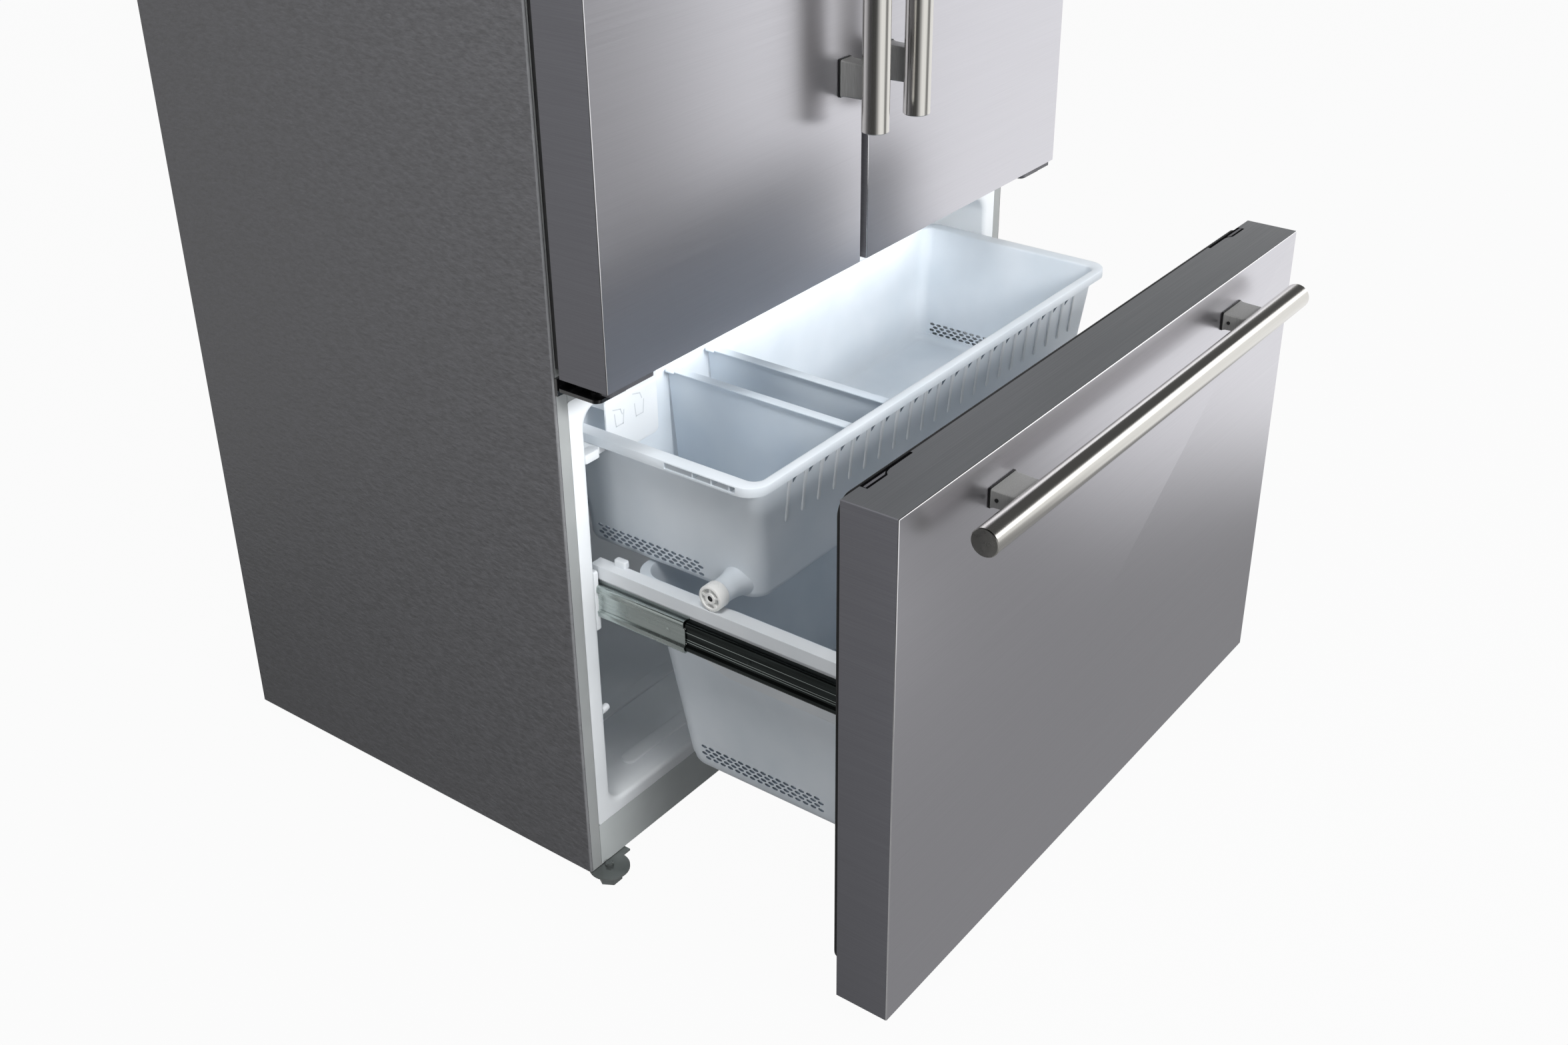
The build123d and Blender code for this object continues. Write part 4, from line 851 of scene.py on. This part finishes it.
def web_wheel(across):
    """Moulded wheel turned about its axle: rounded tyre, hub bore and, on both faces, a sunken disc.

    Five webs cross the disc at fifths of a turn.
    """
    radius, half = 15.5, 8
    centre = (across, wheel_at[1], wheel_at[2])
    face = [(-half, radius - 3.2), (-half, radius - 1.4), (-half + 0.5, radius - 0.5), (-half + 1.5, radius)]
    inner = [(-half + 0.4, radius - 3.6), (-half + 5.5, radius - 4), (-half + 5.5, 6.9), (-half + 0.4, 6.6),
             (-half, 6.2), (-half, 3.9), (-half + 0.5, 3.5)]
    rim = face + [(-along, r) for along, r in face[::-1]]
    sunk = [(-along, r) for along, r in inner] + inner[::-1]
    slots = np.zeros(len(rim + sunk), int)
    # The two pocket floors take the painted pocket shade.
    slots[[len(rim) + 1, -3]] = 2
    screw = [(-half + 1.2, 3.6), (-half + 1.2, 2.2), (-half + 1.9, 1.9)]
    screw += [(-along, r) for along, r in screw[::-1]]
    patches = [turned("x", centre, rim + sunk, ring=True, slots=slots),
               turned("x", centre, screw, around=24, slot=1)]
    for index in range(5):
        angle = pi / 2 + index * 2 * pi / 5
        out, over = np.array([cos(angle), sin(angle)]), np.array([-sin(angle), cos(angle)])
        section = [wheel_at[1:] + reach * out + aside * over for reach, aside in
                   ((6, 1.3), (radius - 3, 1.3), (radius - 3, -1.3), (6, -1.3))]
        patches.append(prism("x", section, across - half + 0.8, across + half - 0.8))
    return patches


make("basket_wheels", "basket_wheels", web_wheel(-392) + web_wheel(392), [NYLON, DARK, POCKET_SHADE],
     ["basket_rollers"])

# ================= Lower basket =================

lower_top, lower_low = LOWER_HIGH[2], LOWER_LOW[2]
LOW_LOW_ROW = (357, -345, -75, lower_low)
LOW_HIGH_ROW = (374, -350, -32, lower_top)
LOW_STOPS = (-279.0, -100.5)


def lower_basket():
    """Deep tub with an outward lip, its wall pierced low on each side; rows as in upper_basket."""
    band = (lower_low + 15.5, lower_low + 35.5)
    outside = rounded_foot(LOW_LOW_ROW, 10, 0, 28)
    outside += tub_rows(LOW_LOW_ROW, LOW_HIGH_ROW, (*band, lower_top - 2), 28)
    half, front, back = wall_at(lower_top, LOW_LOW_ROW, LOW_HIGH_ROW)
    lip = [((-half - 8, front - 1.6), (half + 8, back + 8), 32, lower_top - 2),
           ((-half - 9, front - 2), (half + 9, back + 9), 33, lower_top - 1.2),
           ((-half - 8.4, front - 1.8), (half + 8.4, back + 8.4), 32, lower_top),
           ((WALL - half - 1.5, front + WALL - 1.5), (half - WALL + 1.5, back - WALL + 1.5), 28, lower_top)]
    inside = tub_rows(LOW_LOW_ROW, LOW_HIGH_ROW, (lower_top - 2.5, band[1], band[0]), 26, WALL)
    floor = rounded_foot(LOW_LOW_ROW, 10, WALL, 26)[::-1]
    rows = outside + lip + inside + floor
    right, left = ARC + 1, 3 * (ARC + 1) + 2
    in_band = len(outside) + len(lip) + 1
    sides = (right, right + 1), (left + 1, left)
    loops, patches, windows = pierced_tub(rows, LOW_STOPS, in_band, sides, 16, (4.2, 2.2))
    return patches + [skin_of(loops, windows=windows)]


def side_panel(side):
    """Thicker upper part of the basket's side: its lower edge runs level, then climbs to the rear.

    Each point lies on the sloping wall at its own height, 2.8 mm proud of it, and the edge is bevelled.
    """
    run = np.array([(-342, lower_top - 3), (-342, 325.5), (-338, 323.5), (-158, 323.5), (-148, 325),
                    (-119, 338), (-114, 343), (-100, lower_top - 3)])
    loops, middle = [], (-230, 372)
    for spread, proud in ((2.4, -0.4), (0.4, 2.4), (-0.6, 2.8)):
        flat = run + spread * np.sign(run - middle)
        half = wall_at(flat[:, 1], LOW_LOW_ROW, LOW_HIGH_ROW)[0]
        height = np.minimum(flat[:, 1], lower_top - 2.2)
        loops.append(np.stack([side * (half + proud), flat[:, 0], height], 1))
    return skin_of(loops, slot=2)


parts = lower_basket() + [side_panel(side) for side in SIDES]
make("deep_basket", "drawer", parts, [FROST, HOLE_SHADE, WHITE], ["lower_basket"])

# ================= Freezer liner =================


# Half the freezer's clear width, where the slides are fixed, and the level of its floor.
CAVITY_HALF, LINER_FLOOR = 411, 99


def freezer_liner():
    """White liner: a flat flange, a rounded mouth, then loops back to the raised rear floor.

    The mouth widens by lip (1 - sin t) at a depth of lip (1 - cos t).
    """
    floor, ceiling, half = LINER_FLOOR, 628, CAVITY_HALF
    lip, sheet = 6.0, 2.4
    edge = ((LINER_LOW[0], LINER_LOW[2]), (LINER_HIGH[0], LINER_HIGH[2]), 3)
    rows = [(*edge, 2.5), (*edge, 0.0)]
    for t in np.linspace(0, pi / 2, 6):
        out = lip * (1 - sin(t))
        rows.append(((-half - out, floor - out), (half + out, ceiling + out), 24, lip * (1 - cos(t))))
    # Depth and floor level: flat at first, then up a step to the raised rear floor.
    for depth, bottom in ((60, floor), (296, floor), (302, floor + 10), (348, 325), (356, 335), (469.9, 335)):
        rows.append(((-half, bottom), (half, ceiling), 24, depth))
    # The outer face runs forwards again, one sheet behind the inner one.
    inside = len(rows)
    for depth, bottom in ((472.3, 332.6), (354, 332.6), (346, 323), (300, floor + 6), (294, floor - sheet),
                          (9, floor - sheet)):
        rows.append(((-half - sheet, bottom), (half + sheet, ceiling + sheet), 26, depth))
    rows.append(((-half - 8, floor - 8), (half + 8, ceiling + 8), 26, 2.5))
    loops = [lift(outline(a, b, r), d, "y") for a, b, r, d in rows]
    patches = [skin_of(loops[:inside], ends=(False, True)),
               skin_of(loops[inside:] + loops[:1], ends=(True, False))]
    # On each side a guide ledge with its end, the peg and the screw boss; on the floor, two low ribs.
    root = half + 0.5
    for side in SIDES:
        ends = ((half + 1, 5.5), (404, 5), (401, 4.4), (400, 3))
        peg = [(side * across, radius) for across, radius in ends]
        patches += [
            soft_box((side * root, 5, 564), (side * 376, 310, 572.6), 1.5, 1.2, "y"),
            soft_box((side * root, 2, 562), (side * 388, 16, 573), 3, 1.2, "z"),
            turned("x", (0, 6, 236), peg, around=32),
            soft_box((side * root, 2, 347), (side * 404, 25, 425), 3, 1.5, "x"),
        ]
    for depth in (31, 120):
        patches.append(soft_box((-340, depth, floor - 1.5), (340, depth + 21, floor + 3), 10, 1.6))
    return patches


make("freezer_tub", "cabinet", freezer_liner(), [LINER], ["freezer_liner"])

# ================= Slides and drawer frame =================


def rolled_channel(half, web, proud, front, back, side):
    """Cold-rolled channel carried along the depth: a stepped web between two rounded flanges.

    half is half the height, web the outer face and proud how far its middle band stands out (or in,
    below zero), all before the thickness.
    """
    sheet, radius, mouth, step = 1.4, 3.2, side * 396.8, half * 0.52
    web *= side
    turn = np.linspace(0, pi / 2, 5)
    bend = [(web - side * radius * (1 - sin(t)), half - radius * (1 - cos(t))) for t in turn]
    upper = [(mouth, half)] + bend
    upper += [(web, step + abs(proud)), (web + side * proud, step)]
    outer = np.array(upper + [(across, -level) for across, level in upper[::-1]])
    inner = outer * (1, (half - sheet) / half)
    inner[1:-1, 0] -= side * sheet
    level = (0, slide_height)
    return straight_sheet("y", outer + level, inner + level, front, back)


def rivet(face, depth, side):
    """Domed rivet head on a slide's outer face: four rings that rise to a low crown."""
    radius, rises = 3.6, ((-0.4, 1), (0.2, 0.92), (0.42, 0.6), (0.5, 0.2))
    crown = [(face + side * rise, radius * share) for rise, share in rises]
    return turned("x", (0, depth, slide_height), crown, around=20)


slide_height = sum(span("slide_outer"))[2] / 2
for node, body, web, half, proud, material in (
    ("slide_outer", "cabinet", CAVITY_HALF, 23, -2.2, ZINC),
    ("slide_middle", "slide_carrier", CAVITY_HALF - 2, 21, -2.4, ZINC),
    ("slide_inner", "drawer", CAVITY_HALF - 4, 19, -2.6, DARK_ZINC),
):
    low, high = span(node)
    parts = []
    for side in SIDES:
        parts.append(rolled_channel(half, web, proud, low[1], high[1], side))
        floor = side * (web + proud)
        if node == "slide_inner":
            for level in slide_height + np.array([-6.5, -3.5, 5.5]):
                parts.append(soft_box((floor + side * 0.5, low[1] + 1, level - 0.6),
                                      (floor - side * 0.6, high[1] - 1, level + 0.6), 0.4, 0.3, "y", slot=2))
        if node == "slide_middle":
            for level in (slide_height - 14.2, slide_height + 14.2):
                parts.append(soft_box((side * (web - 0.6), low[1] + 0.5, level - 2),
                                      (side * (web + 0.4), high[1] - 0.5, level + 2), 0.9, 0.4, "y"))
            for level in (slide_height - 13, slide_height + 13):
                parts.append(soft_box((side * (web - 2.6), low[1] + 0.2, level - 5),
                                      (side * (web - 9), low[1] + 7, level + 5), 1.6, 0.8, "x", slot=1))
        for depth in np.linspace(low[1] + 24, high[1] - 24, 4):
            parts.append(rivet(floor, depth, side))
    make(f"{node}_pair", body, parts, [material, NYLON, ZINC], [node], sharp=40)


def frame_rails():
    """White side rails of the drawer: top track, web and inner tray, with stop blocks."""
    low, high = span("drawer_frame")
    front, back, sheet = low[1], high[1], 2.4
    outer, top = 401, 428
    track = [(outer, top), (outer, 412), (outer - sheet, 412), (outer - sheet, top - sheet),
             (396.6, top - sheet), (396.6, 369), (394.6, 369), (394.6, top - sheet), (385.5, top - sheet),
             (384, top)]
    tray = [(395.8, 417.7), (395.8, 415.7), (376, 415.7), (376, 417.7)]
    patches = []
    for side in SIDES:
        for section in (track, tray):
            patches.append(prism("y", [(side * across, height) for across, height in section], front, back))
        patches += [
            soft_box((side * outer, front, 412), (side * 384, front + 14, 436), 3, 1.5),
            soft_box((side * 389, back - 41, 427), (side * 380, back - 24, 436), 3, 1.5),
            soft_box((side * 383.4, front + 38, 412), (side * 377, front + 55, 420.4), 2, 1.2),
        ]
    return patches


make("drawer_rails", "drawer", frame_rails(), [WHITE], ["drawer_frame"])

# ================= Ice maker apron =================


def strokes(lines, depth):
    """Pad-printed line marks: each run of points widened into a thin flat ribbon."""
    patches, wide = [], 1.3
    for line in lines:
        line = np.array(line, float)
        for a, b in zip(line[:-1], line[1:]):
            along = (b - a) / np.linalg.norm(b - a)
            over = np.array([-along[1], along[0]]) * wide / 2
            a, b = a - along * wide / 2, b + along * wide / 2
            patches.append(prism("y", [a + over, b + over, b - over, a - over], depth, depth - 0.12, slot=1))
    return patches


low, high = span("ice_maker_cover")
apron = soft_box(low, (high[0], low[1] + 3, high[2]), 8, 1.2, "y")
tab = soft_box((low[0] + 2, low[1] + 2, 596), (high[0] - 4, high[1], 618), 2, 0.3, "y")
marks = []
# On each mark a bin and, above it, the arm: lowered for on, raised by 7 mm for off.
foot = low[2] + 34
for left, raised in ((low[0] + 14, 0), (low[0] + 48, 7)):
    arm = foot + 12 + raised
    marks += [[(left, foot + 16), (left + 2, foot), (left + 14, foot), (left + 16, foot + 16)],
              [(left - 2, arm + 10), (left + 10, arm + 7), (left + 13, arm)]]
make("ice_apron", "cabinet", [apron, tab] + strokes(marks, low[1]), [LINER, MARK],
     ["ice_maker_cover"])

# ================= Stage, light and camera =================

# Level that metal sees round the horizon, by degrees from the right towards the back: white on the
# right, a dark gap beside it, a softer white in front and a dark left side.
AROUND = ((-180, 0.06), (-152, 0.08), (-136, 0.35), (-118, 0.85), (-108, 1.0), (-80, 1.0), (-66, 0.25),
          (-50, 0.3), (-45, 0.45), (-43, 0.66), (-41, 0.92), (-38, 1.0), (70, 1.0), (110, 0.7), (142, 0.75),
          (164, 0.08), (180, 0.06))


def surround(tree, across, back):
    """AROUND as a ramp over the angle whose tangent is back over across."""
    angle = add(tree, "ShaderNodeMath", links={0: back, 1: across}, operation="ARCTAN2")
    turn = add(tree, "ShaderNodeMapRange", {"From Min": -pi, "From Max": pi}, {"Value": angle.outputs[0]})
    ramp = add(tree, "ShaderNodeValToRGB", links={0: turn.outputs[0]})
    stops = ramp.color_ramp.elements
    for degrees in dict(AROUND[1:-1]):
        stops.new((degrees + 180) / 360)
    for stop, (degrees, shade) in zip(stops, AROUND):
        stop.color = (shade, shade, shade, 1)
    return ramp.outputs[0]


FLOOR_HALF = 6.0
mesh = bpy.data.meshes.new("floor")
corners = ((-1, -1), (1, -1), (1, 1), (-1, 1))
mesh.from_pydata([(x * FLOOR_HALF, y * FLOOR_HALF, 0) for x, y in corners], [], [(0, 1, 2, 3)])
floor = bpy.data.objects.new("floor", mesh)
scene.collection.objects.link(floor)


def ray_kinds(tree):
    """Two factors: 1 for camera and transmission rays, and 1 for glossy rays."""
    rays = add(tree, "ShaderNodeLightPath")
    seen = {0: rays.outputs["Is Camera Ray"], 1: rays.outputs["Is Transmission Ray"]}
    direct = add(tree, "ShaderNodeMath", links=seen, operation="MAXIMUM")
    return direct.outputs[0], rays.outputs["Is Glossy Ray"]


# The eye sees the floor as white paper with a trace of shadow. Metal sees it at one shade near the
# drawer and, further off, as it sees the studio.
PAPER_DIRECT, PAPER_NEAR = 0.96, 0.3
paper = bpy.data.materials.new("pale floor")
paper.use_nodes = True
tree = paper.node_tree
tree.nodes.clear()
direct, glossy = ray_kinds(tree)
place = add(tree, "ShaderNodeTexCoord").outputs["Object"]
axes = add(tree, "ShaderNodeSeparateXYZ", links={0: place})
# The angle is taken about a point in the drawer, 0.38 m before the middle.
back = add(tree, "ShaderNodeMath", {1: 0.38}, {0: axes.outputs["Y"]}, operation="ADD")
distance = add(tree, "ShaderNodeVectorMath", links={0: place}, operation="LENGTH")
far = add(tree, "ShaderNodeMapRange", {"From Min": 1.0, "From Max": 1.6},
          {"Value": distance.outputs["Value"]}, interpolation_type="SMOOTHSTEP")
horizon = surround(tree, axes.outputs["X"], back.outputs[0])
seen = add(tree, "ShaderNodeMix", {2: PAPER_NEAR}, {0: far.outputs[0], 3: horizon}, data_type="FLOAT")
strength = add(tree, "ShaderNodeMix", {2: 1.0}, {0: glossy, 3: seen.outputs[0]}, data_type="FLOAT")
matt = add(tree, "ShaderNodeBsdfDiffuse", {"Color": linear("#747678")})
glow = add(tree, "ShaderNodeEmission", {"Color": (1, 1, 1, 1)}, {"Strength": strength.outputs[0]})
share = add(tree, "ShaderNodeMath", {1: PAPER_DIRECT}, {0: direct, 2: glossy}, operation="MULTIPLY_ADD")
mixed = add(tree, "ShaderNodeMixShader", links={0: share.outputs[0], 1: matt.outputs[0], 2: glow.outputs[0]})
add(tree, "ShaderNodeOutputMaterial", links={"Surface": mixed.outputs[0]})
mesh.materials.append(paper)

# The studio is white to the eye, lights surfaces at AMBIENT and has a dark ceiling for metal.
AMBIENT = 0.05
world = bpy.data.worlds.new("studio")
scene.world = world
world.use_nodes = True
tree = world.node_tree
tree.nodes.clear()
direct, glossy = ray_kinds(tree)
level = add(tree, "ShaderNodeMapRange", {"To Min": AMBIENT, "To Max": 0.985}, {"Value": direct})
place = add(tree, "ShaderNodeSeparateXYZ", links={0: add(tree, "ShaderNodeTexCoord").outputs["Generated"]})
mirror = surround(tree, place.outputs["X"], place.outputs["Y"])
ceiling = add(tree, "ShaderNodeMapRange", {"From Min": 0.22, "From Max": 0.42, "To Min": 1.0, "To Max": 0.08},
              {"Value": place.outputs["Z"]}, interpolation_type="SMOOTHSTEP")
shaded = add(tree, "ShaderNodeMath", links={0: mirror, 1: ceiling.outputs[0]}, operation="MULTIPLY")
strength = add(tree, "ShaderNodeMix", links={0: glossy, 2: level.outputs[0], 3: shaded.outputs[0]},
               data_type="FLOAT")
sky = add(tree, "ShaderNodeBackground", {"Color": (1, 1, 1, 1)}, {"Strength": strength.outputs[0]})
add(tree, "ShaderNodeOutputWorld", links={"Surface": sky.outputs[0]})


def placed(right, up, away, place):
    """Matrix of an object whose three axes and origin are given."""
    return Matrix([*zip(right, up, away, place), (0, 0, 0, 1)])


def softbox(name, place, aim, size, power, mirrored=False):
    """Rectangular lamp in metres that faces a point, unseen itself; metal shows it if mirrored."""
    lamp = bpy.data.lights.new(name, "AREA")
    lamp.shape = "RECTANGLE"
    lamp.size, lamp.size_y = size
    lamp.energy = power
    lamp_object = bpy.data.objects.new(name, lamp)
    away = np.subtract(place, aim)
    away = away / np.linalg.norm(away)
    right = np.cross((0, 0, 1), away)
    right = right / np.linalg.norm(right)
    lamp_object.matrix_world = placed(right, np.cross(away, right), away, place)
    lamp_object.visible_camera = False
    lamp_object.visible_glossy = mirrored
    scene.collection.objects.link(lamp_object)


softbox("key", (3.5, -2.0, 1.45), (0.2, -0.3, 0.85), (2.7, 2.8), 55)
softbox("bar_strip", (2.2, -2.4, 1.75), (0, -0.46, 0.61), (2.6, 0.95), 13, mirrored=True)
softbox("top", (0.3, 0.2, 3.2), (0, -0.15, 0.5), (1.8, 1.8), 24)
softbox("front_top", (-0.5, -2.7, 1.95), (0, 0, 0.5), (1.2, 0.7), 68)
softbox("side", (-1.25, -0.6, 2.75), (-0.45, 0.1, 0.9), (0.9, 0.9), 31)
softbox("left", (-3.0, -1.0, 1.2), (-0.45, -0.3, 0.7), (1.2, 1.2), 19)
softbox("front", (-1.1, -3.0, 1.0), (-0.45, -0.1, 0.6), (0.8, 1.0), 27)
# The freezer's own lamp, under its ceiling.
softbox("freezer_lamp", (-0.02, -0.005, 0.614), (-0.02, 0.1, 0.42), (0.7, 0.06), 0.22, mirrored=True)

# The camera was found from the photo's straight edges.
EYE = np.array([-1.64813, -1.260275, 1.47143])
YAW, PITCH, ROLL = radians(52.96), radians(29.08), -0.01
forward = np.array([sin(YAW) * cos(PITCH), cos(YAW) * cos(PITCH), -sin(PITCH)])
level_right = np.array([cos(YAW), -sin(YAW), 0])
level_up = np.cross(level_right, forward)
right = cos(ROLL) * level_right + sin(ROLL) * level_up
up = -sin(ROLL) * level_right + cos(ROLL) * level_up
lens = bpy.data.cameras.new("camera")
lens.sensor_width = 36
lens.lens = 41.107
lens.shift_y = -0.01605
camera = bpy.data.objects.new("camera", lens)
camera.matrix_world = placed(right, up, -forward, EYE)
scene.collection.objects.link(camera)
scene.camera = camera
scene.view_settings.view_transform = "Standard"
